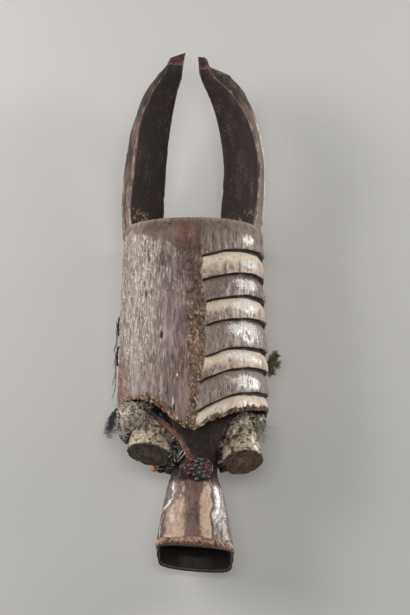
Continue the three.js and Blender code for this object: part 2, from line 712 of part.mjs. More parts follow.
function piece(name, geometry, colour, roughness = 0.7) {
  const placed = geometry.clone().translate(...TO_ORIGIN);
  const material = new THREE.MeshStandardMaterial({ color: colour, roughness, metalness: 0 });
  const mesh = new THREE.Mesh(placed, material);
  mesh.name = name;
  return mesh;
}

function buildMask() {
  const mask = new THREE.Group();
  const body = carvedBody();
  mask.add(piece('mask_body', geometryOf(body), COLOURS.wood, 0.45));

  mask.add(piece('left_eye', eyeSolid(LEFT_EYE), COLOURS.branch, 0.8));
  mask.add(piece('right_eye', eyeSolid(RIGHT_EYE), COLOURS.branch, 0.8));
  const quillHoles = QUILLS.map(({ from, to, radius }) => {
    return solidOf(rodBetween(from, to, radius + GAP, radius + GAP));
  });
  mask.add(piece('left_eye_packing', packingSolid(LEFT_EYE, body, quillHoles), COLOURS.resin, 0.9));
  mask.add(piece('right_eye_packing', packingSolid(RIGHT_EYE, body), COLOURS.resin, 0.9));

  let pad = solidOf(blob(SEED_PAD, 10, 6)).subtract(solidOf(muzzleSolid(GAP)));
  seedPlaces().forEach((place, i) => {
    pad = pad.subtract(solidOf(seedBed(place)));
    const colour = RED_SEEDS.includes(i) ? COLOURS.seedRed : COLOURS.seedGrey;
    mask.add(piece(`seed_${String(i + 1).padStart(2, '0')}`, seedSolid(place), colour, 0.3));
  });
  mask.add(piece('seed_pad', geometryOf(pad.simplify(ROUGHER)), COLOURS.resin, 0.8));

  const flank = flankPieces(solidOf(muzzleSolid(GAP)));
  mask.add(piece('flank_resin', geometryOf(flank.lump), COLOURS.resin, 0.8));
  flank.pieces.forEach(({ name, solid }) => mask.add(piece(name, geometryOf(solid), COLOURS.fibre, 0.4)));
  mask.add(piece('amber_bead', flank.bead, COLOURS.bead, 0.3));

  mask.add(piece('rim_cord', cordAlong(stitchPath(), CORD.radius, 30), COLOURS.fibre, 0.9));
  FRINGE.forEach(({ y, reach }, i) => {
    const root = [leftWallAt(y).outer - FRINGE_OUT, y, CORD.height];
    mask.add(piece(`fringe_feather_${i + 1}`, featherBlade(root, reach, [1, 0, 0]), COLOURS.feather, 0.8));
  });
  mask.add(piece('left_feathers', geometryOf(tuftSolid(LEFT_TUFT)), COLOURS.feather, 0.8));
  mask.add(piece('right_feathers', geometryOf(tuftSolid(RIGHT_TUFT)), COLOURS.feather_brown, 0.8));
  QUILLS.forEach(({ name, from, to, radius }) => {
    mask.add(piece(name, rodBetween(from, to, radius, radius * 0.6), COLOURS.quill, 0.5));
  });
  return mask;
}

export default buildMask();
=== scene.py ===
import math
from functools import reduce
from types import SimpleNamespace

import bpy
import numpy as np
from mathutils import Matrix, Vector


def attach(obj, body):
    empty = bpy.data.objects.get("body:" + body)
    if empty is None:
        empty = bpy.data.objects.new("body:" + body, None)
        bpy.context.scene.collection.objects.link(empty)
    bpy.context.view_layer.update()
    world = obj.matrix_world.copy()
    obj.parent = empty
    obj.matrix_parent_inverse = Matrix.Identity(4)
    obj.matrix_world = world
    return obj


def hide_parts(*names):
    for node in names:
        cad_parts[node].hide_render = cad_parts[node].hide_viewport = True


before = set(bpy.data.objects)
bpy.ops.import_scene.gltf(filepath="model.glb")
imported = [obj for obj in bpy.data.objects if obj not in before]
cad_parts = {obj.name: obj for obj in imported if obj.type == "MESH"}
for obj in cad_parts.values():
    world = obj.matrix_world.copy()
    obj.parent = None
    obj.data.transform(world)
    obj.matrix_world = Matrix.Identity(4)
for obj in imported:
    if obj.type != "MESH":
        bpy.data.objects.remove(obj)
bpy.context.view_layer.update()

# Everything below is in millimetres in the carver's own frame; SHIFT moves it to the model's origin
MM = 0.001
SHIFT = np.array([-1.1, -14.3, 0.0])


# Camera: the photograph looks down on the lying mask from its muzzle end

CAMERA_TILT = math.radians(18)
CAMERA_DISTANCE = 2400
CAMERA_TARGET = np.array([15.6, 0.0, 95.0])
PHOTO_HEIGHT = 615
FOCAL_PIXELS = 2000


def metres(points):
    return (np.asarray(points, float) + SHIFT) * MM


def add_camera():
    back = np.array([0.0, -math.sin(CAMERA_TILT), math.cos(CAMERA_TILT)])
    data = bpy.data.cameras.new("camera")
    data.sensor_width = 36
    data.lens = data.sensor_width * FOCAL_PIXELS / PHOTO_HEIGHT
    data.clip_end = 20
    camera = bpy.data.objects.new("camera", data)
    camera.location = metres(CAMERA_TARGET + CAMERA_DISTANCE * back)
    camera.rotation_euler = (CAMERA_TILT, 0, 0)
    bpy.context.scene.collection.objects.link(camera)
    bpy.context.scene.camera = camera


add_camera()


# Noise and curves

# A noise size so long that nothing varies along that axis
EVEN = 1000


def lattice(cells, seed):
    """A number from -1 to 1 for every cell, scattered by large primes."""
    x, y, z = np.moveaxis(cells, -1, 0)
    mixed = x * 73856093 ^ y * 19349663 ^ z * 83492791 ^ (seed * 40503 + 977)
    mixed = (mixed ^ (mixed >> 15)) * 668265263
    mixed = (mixed ^ (mixed >> 13)) & 0xFFFFFF
    return mixed / 0xFFFFFF * 2 - 1


def noise(points, size, seed):
    """Smooth noise from -1 to 1. size is the feature size in mm, one number or one per axis."""
    scaled = np.asarray(points, float) / size
    cell = np.floor(scaled).astype(np.int64)
    part = scaled - cell
    part = part * part * (3 - 2 * part)
    total = 0
    for corner in range(8):
        step = np.array([corner & 1, corner >> 1 & 1, corner >> 2 & 1])
        weight = np.prod(np.where(step, part, 1 - part), axis=-1)
        total = total + weight * lattice(cell + step, seed)
    return total


def fractal(points, size, seed, octaves=3):
    size = np.asarray(size, float)
    total, amount, sum_amount = 0, 1.0, 0.0
    for octave in range(octaves):
        total = total + amount * noise(points, size / 2 ** octave, seed + 17 * octave)
        sum_amount += amount
        amount *= 0.5
    return total / sum_amount


def ridged(points, size, seed):
    """Narrow grooves: 1 in a groove, falling to 0 away from it."""
    return np.clip(1 - np.abs(noise(points, size, seed)) * 3.2, 0, 1)


def ramp(low, high, value):
    t = np.clip((value - low) / (high - low), 0, 1)
    return t * t * (3 - 2 * t)


def mix(a, b, t):
    return a + (b - a) * t


def most(*layers):
    """The largest of several masks, point by point."""
    return reduce(np.maximum, layers)


def bell(distance, wide):
    """1 at no distance, falling to 0 within about two widths."""
    return np.exp(-(distance / wide) ** 2)


def stack(*columns):
    return np.stack(np.broadcast_arrays(*columns), axis=-1)


def steps_round(count):
    return np.linspace(0, 2 * np.pi, count + 1)[:-1]


def values_at(rows, t):
    """Cubic through rows of numbers whose first entry is the parameter, read at every t."""
    rows = np.asarray(rows, float)
    if rows[0, 0] > rows[-1, 0]:
        rows = rows[::-1]
    t = np.asarray(t, float)
    last = len(rows) - 1
    i = np.clip(np.searchsorted(rows[:, 0], t, "right") - 1, 0, last - 1)
    before, start = rows[np.maximum(i - 1, 0)], rows[i]
    end, after = rows[i + 1], rows[np.minimum(i + 2, last)]
    span = end[..., :1] - start[..., :1]
    u = np.clip((t[..., None] - start[..., :1]) / span, 0, 1)
    start_slope = (end - before) / (end[..., :1] - before[..., :1]) * span
    end_slope = (after - start) / (after[..., :1] - start[..., :1]) * span
    rise = end - start
    bend = 3 * rise - 2 * start_slope - end_slope + u * (start_slope + end_slope - 2 * rise)
    return start + u * (start_slope + u * bend)


def spline(points, t):
    """Smooth curve through points, read at shares t; every stretch between two points is one share."""
    points = np.asarray(points, float)
    rows = np.concatenate([np.arange(len(points))[:, None] / (len(points) - 1), points], axis=1)
    return values_at(rows, t)[..., 1:]


def unit(vector):
    vector = np.asarray(vector, float)
    return vector / np.linalg.norm(vector, axis=-1, keepdims=True)


# Meshes

def make_mesh(name, points, faces, attributes, material):
    """points in mm; faces a list of arrays of equal-sized corner lists."""
    mesh = bpy.data.meshes.new(name)
    mesh.vertices.add(len(points))
    mesh.vertices.foreach_set("co", metres(points).astype(np.float32).ravel())
    sizes = np.concatenate([np.full(len(block), block.shape[1]) for block in faces])
    corners = np.concatenate([block.ravel() for block in faces])
    mesh.loops.add(len(corners))
    mesh.loops.foreach_set("vertex_index", corners.astype(np.int32))
    mesh.polygons.add(len(sizes))
    starts = np.concatenate([[0], np.cumsum(sizes)[:-1]])
    mesh.polygons.foreach_set("loop_start", starts.astype(np.int32))
    for key, values in attributes.items():
        kind, field = ("FLOAT_VECTOR", "vector") if values.ndim == 2 else ("FLOAT", "value")
        mesh.attributes.new(key, kind, "POINT").data.foreach_set(field, values.astype(np.float32).ravel())
    mesh.update(calc_edges=True)
    mesh.validate()
    mesh.materials.append(material)
    thing = bpy.data.objects.new(name, mesh)
    bpy.context.scene.collection.objects.link(thing)
    return thing


def volume_of(points, quads):
    points = points - points.mean(axis=0)
    a, b, c, d = (points[quads[:, i]] for i in range(4))
    return np.sum(np.einsum("ij,ij->i", a, np.cross(b, c) + np.cross(c, d))) / 6


def with_centres(values, columns):
    """Values of every ring in turn, then the first and the last ring's mean."""
    return np.concatenate([values, values[:columns].mean(axis=0)[None], values[-columns:].mean(axis=0)[None]])


def closed_tube(rings):
    """Points, quads and end fans through rings (rows, columns, 3); each end closes on its ring's centre."""
    rows, columns = rings.shape[:2]
    points = rings.reshape(-1, 3)
    i, j = np.meshgrid(np.arange(rows - 1), np.arange(columns), indexing="ij")
    near, far = i * columns + j, i * columns + (j + 1) % columns
    quads = np.stack([near, far, far + columns, near + columns], axis=-1).reshape(-1, 4)
    j = np.arange(columns)
    following, base = (j + 1) % columns, (rows - 1) * columns
    first, final = stack(following, j, len(points)), stack(base + j, base + following, len(points) + 1)
    fans = np.concatenate([first, final])
    if volume_of(points, quads) < 0:
        quads, fans = quads[:, ::-1], fans[:, ::-1]
    return with_centres(points, columns), quads, fans


def grid_solid(name, rings, attributes, material):
    """A closed mesh through rings, with attributes of one or three numbers for each of their points."""
    rings = np.asarray(rings, float)
    points, quads, fans = closed_tube(rings)
    packed = {}
    for key, values in attributes.items():
        flat = with_centres(values.reshape(rings.shape[0] * rings.shape[1], -1), rings.shape[1])
        packed[key] = flat if values.ndim == 3 else flat[:, 0]
    return make_mesh(name, points, [quads, fans], packed, material)


def masks(shape, **groups):
    """Attributes of three masks each, over rings of a shape (rows, columns)."""
    return {
        key: np.stack([np.broadcast_to(mask, shape) for mask in group], axis=-1)
        for key, group in groups.items()
    }


def closing_rings(ring, steps, centre=None):
    """Rings that lead from one ring to near a centre, its own mean unless another is given."""
    centre = ring.mean(axis=0) if centre is None else np.asarray(centre, float)
    return [mix(ring, centre, part) for part in np.linspace(0, 0.96, steps + 1)[1:]]


def tube(path, radius, sides, flat=1.0, facing=(0, 0, 1)):
    """Rings of a tube along a path; radius is one number or many; flat squeezes it along its facing."""
    path = np.asarray(path, float)
    tangent = unit(np.gradient(path, axis=0))
    across = np.cross(tangent, facing)
    across = unit(np.where(np.linalg.norm(across, axis=-1, keepdims=True) < 1e-3, (1.0, 0.0, 0.0), across))
    up = np.cross(across, tangent)
    turns = steps_round(sides)[:, None]
    radius = np.broadcast_to(radius, len(path))[:, None, None]
    return path[:, None] + radius * (np.cos(turns) * across[:, None] + flat * np.sin(turns) * up[:, None])


def combine(base, others, operation):
    """Joins other things to a base or cuts them out of it; point attributes are carried over."""
    for other in others:
        change = base.modifiers.new("cut", "BOOLEAN")
        change.operation = operation
        change.object = other
        change.solver = "MANIFOLD"
    graph = bpy.context.evaluated_depsgraph_get()
    mesh = bpy.data.meshes.new_from_object(base.evaluated_get(graph))
    base.modifiers.clear()
    base.data = mesh
    for other in others:
        bpy.data.objects.remove(other)
    return base


def finish_piece(thing, *nodes, slot, sharp=math.radians(40)):
    thing.data.shade_smooth()
    if sharp:
        thing.data.set_sharp_from_angle(angle=sharp)
    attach(thing, "root")
    if nodes:
        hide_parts(*nodes)
    return thing


# Materials

def srgb(value):
    channels = [value >> 16 & 255, value >> 8 & 255, value & 255]
    linear = [c / 255 / 12.92 if c <= 10 else ((c / 255 + 0.055) / 1.055) ** 2.4 for c in channels]
    return (*linear, 1.0)


class Surface:
    """A node material put together one socket at a time."""

    def __init__(self, name):
        self.material = bpy.data.materials.new(name)
        self.material.use_nodes = True
        self.tree = self.material.node_tree
        self.shader = self.tree.nodes["Principled BSDF"]

    def node(self, kind, inputs, **settings):
        made = self.tree.nodes.new(kind)
        for key, value in settings.items():
            setattr(made, key, value)
        for key, value in inputs.items():
            self.put(made.inputs[key], value)
        return made.outputs

    def put(self, socket, value):
        if isinstance(value, bpy.types.NodeSocket):
            self.tree.links.new(value, socket)
        elif isinstance(value, int) and socket.type == "RGBA":
            socket.default_value = srgb(value)
        else:
            socket.default_value = value

    def place(self, stretch=(1, 1, 1), turn=0.0, wander=0.0):
        """Coordinates that wander sideways by so many mm, turned about the upright axis, then stretched."""
        where = self.node("ShaderNodeTexCoord", {})["Object"]
        if wander:
            sideways = self.ranged(self.noise(15, 2), 0.3, 0.7, -wander * MM, wander * MM)
            offset = self.node("ShaderNodeCombineXYZ", {"X": sideways})[0]
            where = self.node("ShaderNodeVectorMath", {0: where, 1: offset}, operation="ADD")[0]
        scale = [1 / amount for amount in stretch]
        inputs = {"Vector": where, "Rotation": (0, 0, turn), "Scale": scale}
        return self.node("ShaderNodeMapping", inputs, vector_type="TEXTURE")["Vector"]

    def noise(self, size, detail=3, stretch=(1, 1, 1), roughness=0.55, distortion=0.0, turn=0.0, wander=0.0):
        """Noise from 0 to 1 with a feature size in mm."""
        inputs = {"Vector": self.place(stretch, turn, wander), "Scale": 1 / (size * MM), "Detail": detail,
                  "Roughness": roughness, "Distortion": distortion}
        return self.node("ShaderNodeTexNoise", inputs)["Fac"]

    def attribute(self, name, output="Fac"):
        return self.node("ShaderNodeAttribute", {}, attribute_name=name)[output]

    def channels(self, name):
        return self.node("ShaderNodeSeparateXYZ", {0: self.attribute(name, "Vector")})

    def ranged(self, value, low, high, to_low=0.0, to_high=1.0):
        inputs = {"Value": value, "From Min": low, "From Max": high, "To Min": to_low, "To Max": to_high}
        return self.node("ShaderNodeMapRange", inputs, interpolation_type="SMOOTHSTEP")["Result"]

    def math(self, operation, a, b=0.0):
        return self.node("ShaderNodeMath", {0: a, 1: b}, operation=operation)[0]

    def times(self, a, b):
        return self.math("MULTIPLY", a, b)

    def plus(self, a, b):
        return self.math("ADD", a, b)

    def broken(self, mask, by, amount, *limits):
        """A mask broken up by noise, then cut to limits as in ranged."""
        return self.ranged(self.plus(mask, self.times(self.math("SUBTRACT", by, 0.5), amount)), *limits)

    def blend(self, part, a, b):
        return self.node("ShaderNodeMix", {0: part, 6: a, 7: b}, data_type="RGBA")[2]

    def between(self, value, low, high, a, b):
        """One colour where a value is low and another where it is high."""
        return self.blend(self.ranged(value, low, high), a, b)

    def layers(self, colour, *coats):
        """A colour with coats laid over it in turn, each where its mask says."""
        for mask, over in coats:
            colour = self.blend(mask, colour, over)
        return colour

    def relief(self, *bumps):
        """A normal from bumps laid over each other: each a height, its depth in mm and its strength."""
        normal = None
        for height, depth, strength in bumps:
            inputs = {"Strength": strength, "Distance": depth * MM, "Height": height}
            if normal is not None:
                inputs["Normal"] = normal
            normal = self.node("ShaderNodeBump", inputs)["Normal"]
        return normal

    def finish(self, **sockets):
        for key, value in sockets.items():
            self.put(self.shader.inputs[key.replace("_", " ")], value)
        return self.material


def wood_material():
    """Old carved wood. paint holds cream pigment, dirt with painted shade and wear with a little painted
    highlight;
    tone holds reddening, grey bloom with some painted highlight, and gloss; mark holds a purple tinge, ochre
    and the depth of the scratches; coat holds crackled gloss with a painted white highlight, bristly crust
    and where that crust is dull."""
    s = Surface("patinated_wood")
    cream, dirt, wear = s.channels("paint")
    red, grey, gloss = s.channels("tone")
    purple, ochre, scratched = s.channels("mark")
    gloss_and_painted_highlight, crust, dull = s.channels("coat")
    grain = s.noise(1.7, 5, (1, 0.11, 1), 0.62, 0.3, wander=1.2)
    streak = s.noise(7, 4, (1, 0.14, 1), 0.6, wander=1.2)
    blotch, speck, fine = s.noise(22, 4), s.noise(3.2, 5), s.noise(1.1, 3)
    stroke = s.noise(2.1, 2, (1, 0.3, 1), 0.5, 0.6, 0.5)
    glint = s.noise(1.5, 3, (1, 0.3, 1), 0.6, 0.4, 0.35)
    crackle = s.noise(1.9, 5, (1, 0.5, 1), 0.7, 0.8)
    mauve = s.between(streak, 0.4, 0.6, 0x77656A, 0x9B857F)
    bare = s.layers(
        s.between(blotch, 0.38, 0.62, 0x33251E, 0x4E3D33),
        (s.ranged(streak, 0.42, 0.66), 0x6B574B),
        (s.times(red, s.ranged(streak, 0.3, 0.6, 0.5, 1)), 0x68392E),
        (s.times(grey, s.ranged(grain, 0.34, 0.62, 0.25, 1)), 0x98897F),
        (s.times(purple, s.ranged(grain, 0.36, 0.52, 0.3, 0.7)), mauve),
        # Where scratched, the light lines on the grain's ridges and the white glints are painted highlights
        (s.times(scratched, s.ranged(grain, 0.54, 0.63, 0, 0.8)), 0xC3B6AB),
        (s.times(s.ranged(scratched, 0.5, 1.0), s.ranged(glint, 0.6, 0.68, 0, 0.9)), 0xE6DFD6),
        (s.times(s.ranged(scratched, 0, 0.5), s.ranged(grain, 0.37, 0.45, 0.8, 0)), 0x33241E),
    )
    pigment = s.layers(
        s.between(cream, 0.45, 1.15, 0x9A8674, 0xD3C5B0),
        (s.times(red, 0.75), 0xCDAB91),
        (s.ranged(grain, 0.5, 0.66, 0, 0.55), 0x7A685A),
        (s.ranged(blotch, 0.5, 0.66, 0, 0.35), 0xA9805F),
        (s.ranged(fine, 0.54, 0.66, 0, 0.6), 0xEAE0D1),
        (s.ranged(crackle, 0.33, 0.42, 0.65, 0), 0x5E4A3B),
    )
    tan = s.layers(
        s.between(fine, 0.42, 0.6, 0x7B5A45, 0xB0937A),
        (ochre, s.between(fine, 0.4, 0.6, 0x7C4B36, 0xAE7855)),
    )
    bristle = s.layers(
        s.between(speck, 0.42, 0.58, 0x54412F, 0x8A7059),
        (s.ranged(blotch, 0.47, 0.58, 0, 0.8), 0x33231A),
        (s.ranged(stroke, 0.38, 0.47, 0.85, 0), 0x2B1C14),
        (s.times(s.ranged(glint, 0.55, 0.64), s.ranged(blotch, 0.42, 0.5, 0.85, 0.25)), 0xA8663F),
        (s.times(ochre, s.ranged(stroke, 0.42, 0.54, 0.1, 0.9)), 0xB98463),
        (s.ranged(stroke, 0.56, 0.63, 0, 0.85), 0xD2B896),
        (s.times(dull, s.ranged(glint, 0.62, 0.5, 0.3, 0.85)), 0x3A281E),
    )
    flake = s.broken(cream, speck, 1.3, 0.28, 0.62)
    # soot carries dirt together with the painted shade laid into the dirt mask
    soot_and_painted_shade = s.broken(dirt, speck, 0.9, 0.22, 0.82)
    # The glaze mask paints a crackled white highlight into the colour and adds coat gloss
    glaze_and_painted_highlight = s.broken(gloss_and_painted_highlight, crackle, 2.2, 0.36, 0.6)
    wood = s.layers(
        bare,
        (flake, pigment),
        (s.times(s.broken(wear, speck, 1.1, 0.42, 0.66), 0.9), tan),
        (s.times(soot_and_painted_shade, 0.95), 0x1A110D),
        (s.broken(crust, speck, 1.0, 0.2, 0.85, 0, 0.95), bristle),
        (s.times(glaze_and_painted_highlight, 0.9), s.between(fine, 0.4, 0.6, 0xBFB9B2, 0xF0EEEA)),
    )
    rough = s.broken(gloss, grain, 1.1, 0.1, 1.0, 0.6, 0.24)
    rough = s.plus(rough, s.times(s.plus(s.times(flake, 0.3), soot_and_painted_shade), 0.25))
    rough = s.plus(rough, s.times(crust, 0.2))
    strokes = s.times(stroke, crust)
    normal = s.relief((grain, 1.1, 0.8), (speck, 0.8, 0.5), (strokes, 1.8, 0.9), (fine, 0.4, 0.55))
    coat = s.plus(s.times(gloss, 0.45), s.times(glaze_and_painted_highlight, 0.5))
    return s.finish(Base_Color=wood, Roughness=rough, Normal=normal, Coat_Weight=coat, Coat_Roughness=0.22)


def branch_material():
    """Branch wood. branch holds 1 on the cut end, the distance from the pith in mm, and chalky crust, whose
    palest part carries a painted highlight.
    """
    s = Surface("branch_wood")
    end, ring, chalk = s.channels("branch")
    wobble, speck, blotch, fine = s.noise(9, 3), s.noise(3.6, 5), s.noise(11, 4), s.noise(1.1, 3)
    patch = s.noise(6, 3, distortion=0.8)
    rings = s.math("SINE", s.plus(s.times(ring, 1.3), s.times(wobble, 15.0)))
    heart = s.times(chalk, s.ranged(ring, 15, 5))
    cut = s.layers(
        s.between(blotch, 0.38, 0.62, 0x33271D, 0x5E4A38),
        (s.times(chalk, s.ranged(wobble, 0.35, 0.6, 0.4, 1)), 0x77624C),
        (s.ranged(rings, 0.1, 0.9, 0, 0.45), 0x1D140F),
        (s.times(heart, s.ranged(patch, 0.46, 0.54, 0, 0.9)), 0xA0845F),
        (s.times(heart, s.ranged(speck, 0.5, 0.58, 0, 0.7)), 0x8B8088),
        (s.ranged(blotch, 0.42, 0.34, 0, 0.7), 0x15100C),
        (s.ranged(patch, 0.57, 0.64, 0, 0.85), 0x120D0A),
        (s.ranged(speck, 0.55, 0.66, 0, 0.6), 0x86735E),
    )
    # The palest chalk, where an eye's painted highlight streak lifts it, is near white
    pale = s.layers(s.between(fine, 0.4, 0.6, 0x8C7A62, 0xD6C8B0), (s.ranged(chalk, 0.9, 1.25), 0xF0ECE2))
    side = s.layers(
        s.between(blotch, 0.4, 0.6, 0x3E3228, 0x6B5B48),
        (s.ranged(patch, 0.5, 0.62, 0, 0.7), 0x7E6238),
        (s.broken(chalk, speck, 2.2, 0.38, 0.68), pale),
        (s.ranged(patch, 0.3, 0.4, 0.85, 0), 0x1E1711),
    )
    normal = s.relief((speck, 1.6, 0.9), (s.times(rings, end), 0.3, 0.5), (fine, 0.5, 0.7))
    rough = s.ranged(fine, 0.3, 0.7, 0.35, 0.75)
    return s.finish(Base_Color=s.blend(end, side, cut), Roughness=rough, Normal=normal)


def resin_material():
    """Dark resin with pale matted down on it where the attribute down is near 1."""
    s = Surface("fibrous_resin")
    lump, speck = s.noise(6, 5, distortion=0.6), s.noise(2.2, 4)
    hair = s.noise(1.7, 4, (1, 0.45, 0.6), distortion=1.8)
    matted = s.layers(
        s.between(hair, 0.4, 0.58, 0x7A6B57, 0xE3D9C6),
        (s.ranged(lump, 0.4, 0.5, 0.75, 0), 0x6A5340),
        (s.ranged(speck, 0.36, 0.43, 0.9, 0), 0x2A211A),
    )
    colour = s.layers(
        s.between(lump, 0.35, 0.7, 0x120D0A, 0x33271E),
        (s.ranged(speck, 0.58, 0.7, 0, 0.6), 0x6A5B4C),
        (s.broken(s.attribute("down"), lump, 2.4, 0.38, 0.62), matted),
    )
    normal = s.relief((lump, 2.0, 0.9), (hair, 1.0, 0.9))
    return s.finish(Base_Color=colour, Roughness=s.ranged(speck, 0.35, 0.65, 0.45, 0.85), Normal=normal)


def seed_material(name, colour, shade, cap):
    """Shiny dusty seed with a dark cap round its scar, where the attribute scar is near 1."""
    s = Surface(name)
    dust = s.noise(0.9, 2)
    skin = s.layers(
        s.between(s.noise(1.6, 3), 0.38, 0.64, colour, shade),
        (s.ranged(s.attribute("scar"), 0.78, 0.86), cap),
        (s.ranged(dust, 0.62, 0.74, 0, 0.5), 0x8F8277),
    )
    return s.finish(Base_Color=skin, Roughness=s.ranged(dust, 0.4, 0.7, 0.3, 0.55), Coat_Weight=0.2,
                    Normal=s.relief((dust, 0.12, 0.5)))


def bead_material():
    s = Surface("amber")
    colour = s.between(s.noise(3.0, 3, distortion=1.5), 0.35, 0.65, 0x9C5A1C, 0xDCA04E)
    return s.finish(
        Base_Color=colour, Roughness=0.22, Subsurface_Weight=0.25, Subsurface_Radius=(0.004, 0.002, 0.001),
        Subsurface_Scale=0.6, Normal=s.relief((s.noise(1.5, 3), 0.2, 0.4)),
    )


def strand_material(name, dark, light, roughness):
    """Feathers, fibres and cord, with faint bars along the strand from the attribute along."""
    s = Surface(name)
    speck = s.noise(1.8, 3)
    bars = s.math("SINE", s.times(s.attribute("along"), 23.0))
    colour = s.layers(s.between(speck, 0.35, 0.68, dark, light), (s.ranged(bars, 0.2, 1.0, 0, 0.3), dark))
    normal = s.relief((speck, 0.2, 0.5))
    return s.finish(Base_Color=colour, Roughness=roughness, Sheen_Weight=0.15, Normal=normal)


WOOD = wood_material()
BRANCH = branch_material()
RESIN = resin_material()
SEED_RED = seed_material("seed_red", 0x6A121D, 0x962432, 0x0C0A09)
SEED_GREY = seed_material("seed_grey", 0x343A34, 0x565C54, 0x0C0A09)
SEED_DARK = seed_material("seed_dark", 0x17110E, 0x2A211B, 0x0A0807)
AMBER = bead_material()
DARK_FEATHER = strand_material("dark_feather", 0x14161A, 0x2C3236, 0.45)
OLIVE_FEATHER = strand_material("olive_feather", 0x2A2A18, 0x55512F, 0.6)
CORD_FIBRE = strand_material("cord_fibre", 0x1B1714, 0x3A322A, 0.85)
DARK_FIBRE = strand_material("dark_fibre", 0x18130F, 0x3D3128, 0.7)
PALE_FIBRE = strand_material("pale_fibre", 0x8D8579, 0xC9C2B5, 0.6)
QUILL = strand_material("pale_quill", 0xC6BEB1, 0xF0ECE4, 0.35)


# Helmet

BACK = 106
SPRINGING = 58
HALF_WIDTH = (86, 90)
CROWN = (128, 135)
WALL = 10
CROWN_THICKNESS = 15
ARC_RADIUS = 90
# Powers of the vault's arc, length from back to brow that its rows are spaced for, and the back wall's middle
VAULT_POWER = 0.92
VAULT_LENGTH = 245
BACK_MIDDLE = (0, BACK, 62)
# The brow's line: angle round the vault and y
BROW = [
    [0, -121], [28, -129], [58, -139], [80, -154], [90, -162], [103, -148], [119, -128], [145, -118],
    [180, -126],
]
BAND_ENDS = np.array([0, 0.17, 0.293, 0.408, 0.525, 0.674, 0.781, 0.908, 1])
LAST_BAND = len(BAND_ENDS) - 2
# How far each band's line leans back on the right, and the angle at which it runs out towards the crown
BAND_LEAN = np.array([0, 14, 8, 6, 3, 1, 0, 1, 0])
BAND_INNER = np.array([84, 84, 84.5, 82, 81, 82.5, 86.5, 88.5, 88.5])
BAND_RISE = 3.8
BAND_GROOVE = 1.9
CREAM_BANDS = (1, 3, 5, 7)
PALE_BANDS = (4, 6)
# Places on the vault: angle, distance from the back edge, size round the vault, size along it
# Painted highlights: crackled pale patches on the bands' right shoulders where their gloss catches the light
PAINTED_HIGHLIGHT_PATCHES = [
    (40, 27, 12.5, 8), (38.7, 58, 15.5, 6), (41, 84, 27, 8), (43, 111.5, 22, 8), (44, 142, 30, 13),
    (44, 174, 30, 5), (44, 204, 30, 8), (41, 231.5, 17, 4),
]
DARK_PATCHES = [(95, 52, 10, 44), (86, 38, 11, 8), (94, 128, 6, 21), (112.5, 54, 14, 10)]
OCHRE_PATCHES = [
    (107, 38, 10, 4), (93.5, 98, 5, 11), (95, 154, 5, 9), (91, 217, 3, 9), (86.5, 160, 3.5, 12),
    (88, 60, 4, 12), (89, 20, 6, 5),
]
# The angle of the crusted strip's left side
STRIP_LEFT = 92.2
# The smooth block left by the adze: its two edges round the vault and its two ends along it
BLOCK = (97.3, 108.9, 92.5, 150)
PURPLE_PATCHES = [(95, 232, 9, 30), (97, 100, 14, 60), (91.5, 199, 3, 11)]
RED_PATCHES = [(168, 200, 24, 38), (96, 200, 8, 60), (150, 228, 30, 8)]
SMOOTH_PATCHES = [(134, 212, 15, 15), (94, 128, 6, 21), (95, 236, 9, 24)]
CHIPS = [(55, 82, 3.6, 2.8), (112, 150, 2, 4), (128, 96, 1.6, 5), (101.5, 238, 1.5, 5)]
# Small painted highlights on the plain side
HIGHLIGHTS = [(99.5, 197, 1.6, 6), (102.5, 231, 1.8, 7), (99.5, 250, 2, 6)]


def half_width(y):
    return mix(*HALF_WIDTH, ramp(-BACK, 120, -y))


def crown(y):
    return mix(*CROWN, ramp(-BACK, 120, -y))


def helmet_point(angle, wall, share, relief, slip):
    """A point of the vault; angle runs from the right over the crown, slip moves it along the dome."""
    front = values_at(BROW, angle)[..., 1]
    y = mix(BACK, front, share) + slip
    a = np.radians(angle)
    bevel = 7 * np.sin(a) ** 2 * (1 - ramp(0, 26, BACK - y)) ** 2
    half = half_width(y) + relief - bevel
    rise = crown(y) - SPRINGING + relief - bevel
    across = np.sign(np.cos(a)) * np.abs(np.cos(a)) ** VAULT_POWER
    x = across * (half - 4 * (1 - wall))
    return stack(x, y, SPRINGING * wall + rise * np.sin(np.clip(a, 0, math.pi)) ** VAULT_POWER)


def helmet_stations():
    """Angle and height on the side wall of each column: up the right wall, over the crown, down the left."""
    right = np.linspace(0, 84, 112)
    left = np.linspace(84, 180, 112)[1:]
    up = np.linspace(0, 1, 13)[:-1]
    angle = np.concatenate([0 * up, right, left, 0 * up + 180])
    wall = np.concatenate([up, np.ones(len(right) + len(left)), up[::-1]])
    return angle, wall


def helmet_shares():
    """Rows along the vault, closer together in each band's groove, at its foot and at the brow."""
    rows = []
    for start, end in zip(BAND_ENDS[:-1], BAND_ENDS[1:]):
        begin = start + np.array([0.02, 0.9, 1.8, 2.7, 3.6]) / VAULT_LENGTH
        space = 1.6 if end < 1 else 1.0
        count = int(round((end - begin[-1]) * VAULT_LENGTH / space))
        rows.append(np.concatenate([begin, np.linspace(begin[-1], end - 0.0036, count)[1:], [end - 0.0018]]))
    return np.concatenate(rows)


def patches(g, spots, seed, edge=0.3):
    """1 inside any of the irregular spots, 0 outside."""
    total = np.zeros_like(g.arc)
    for i, (angle, at, wide, long) in enumerate(spots):
        distance = np.hypot((g.arc - math.radians(angle) * ARC_RADIUS) / wide, (g.along - at) / long)
        ragged = distance + 0.35 * fractal(g.place, min(wide, long) * 0.9, seed + 7 * i)
        total = np.maximum(total, 1 - ramp(1 - edge, 1 + edge, ragged))
    return total


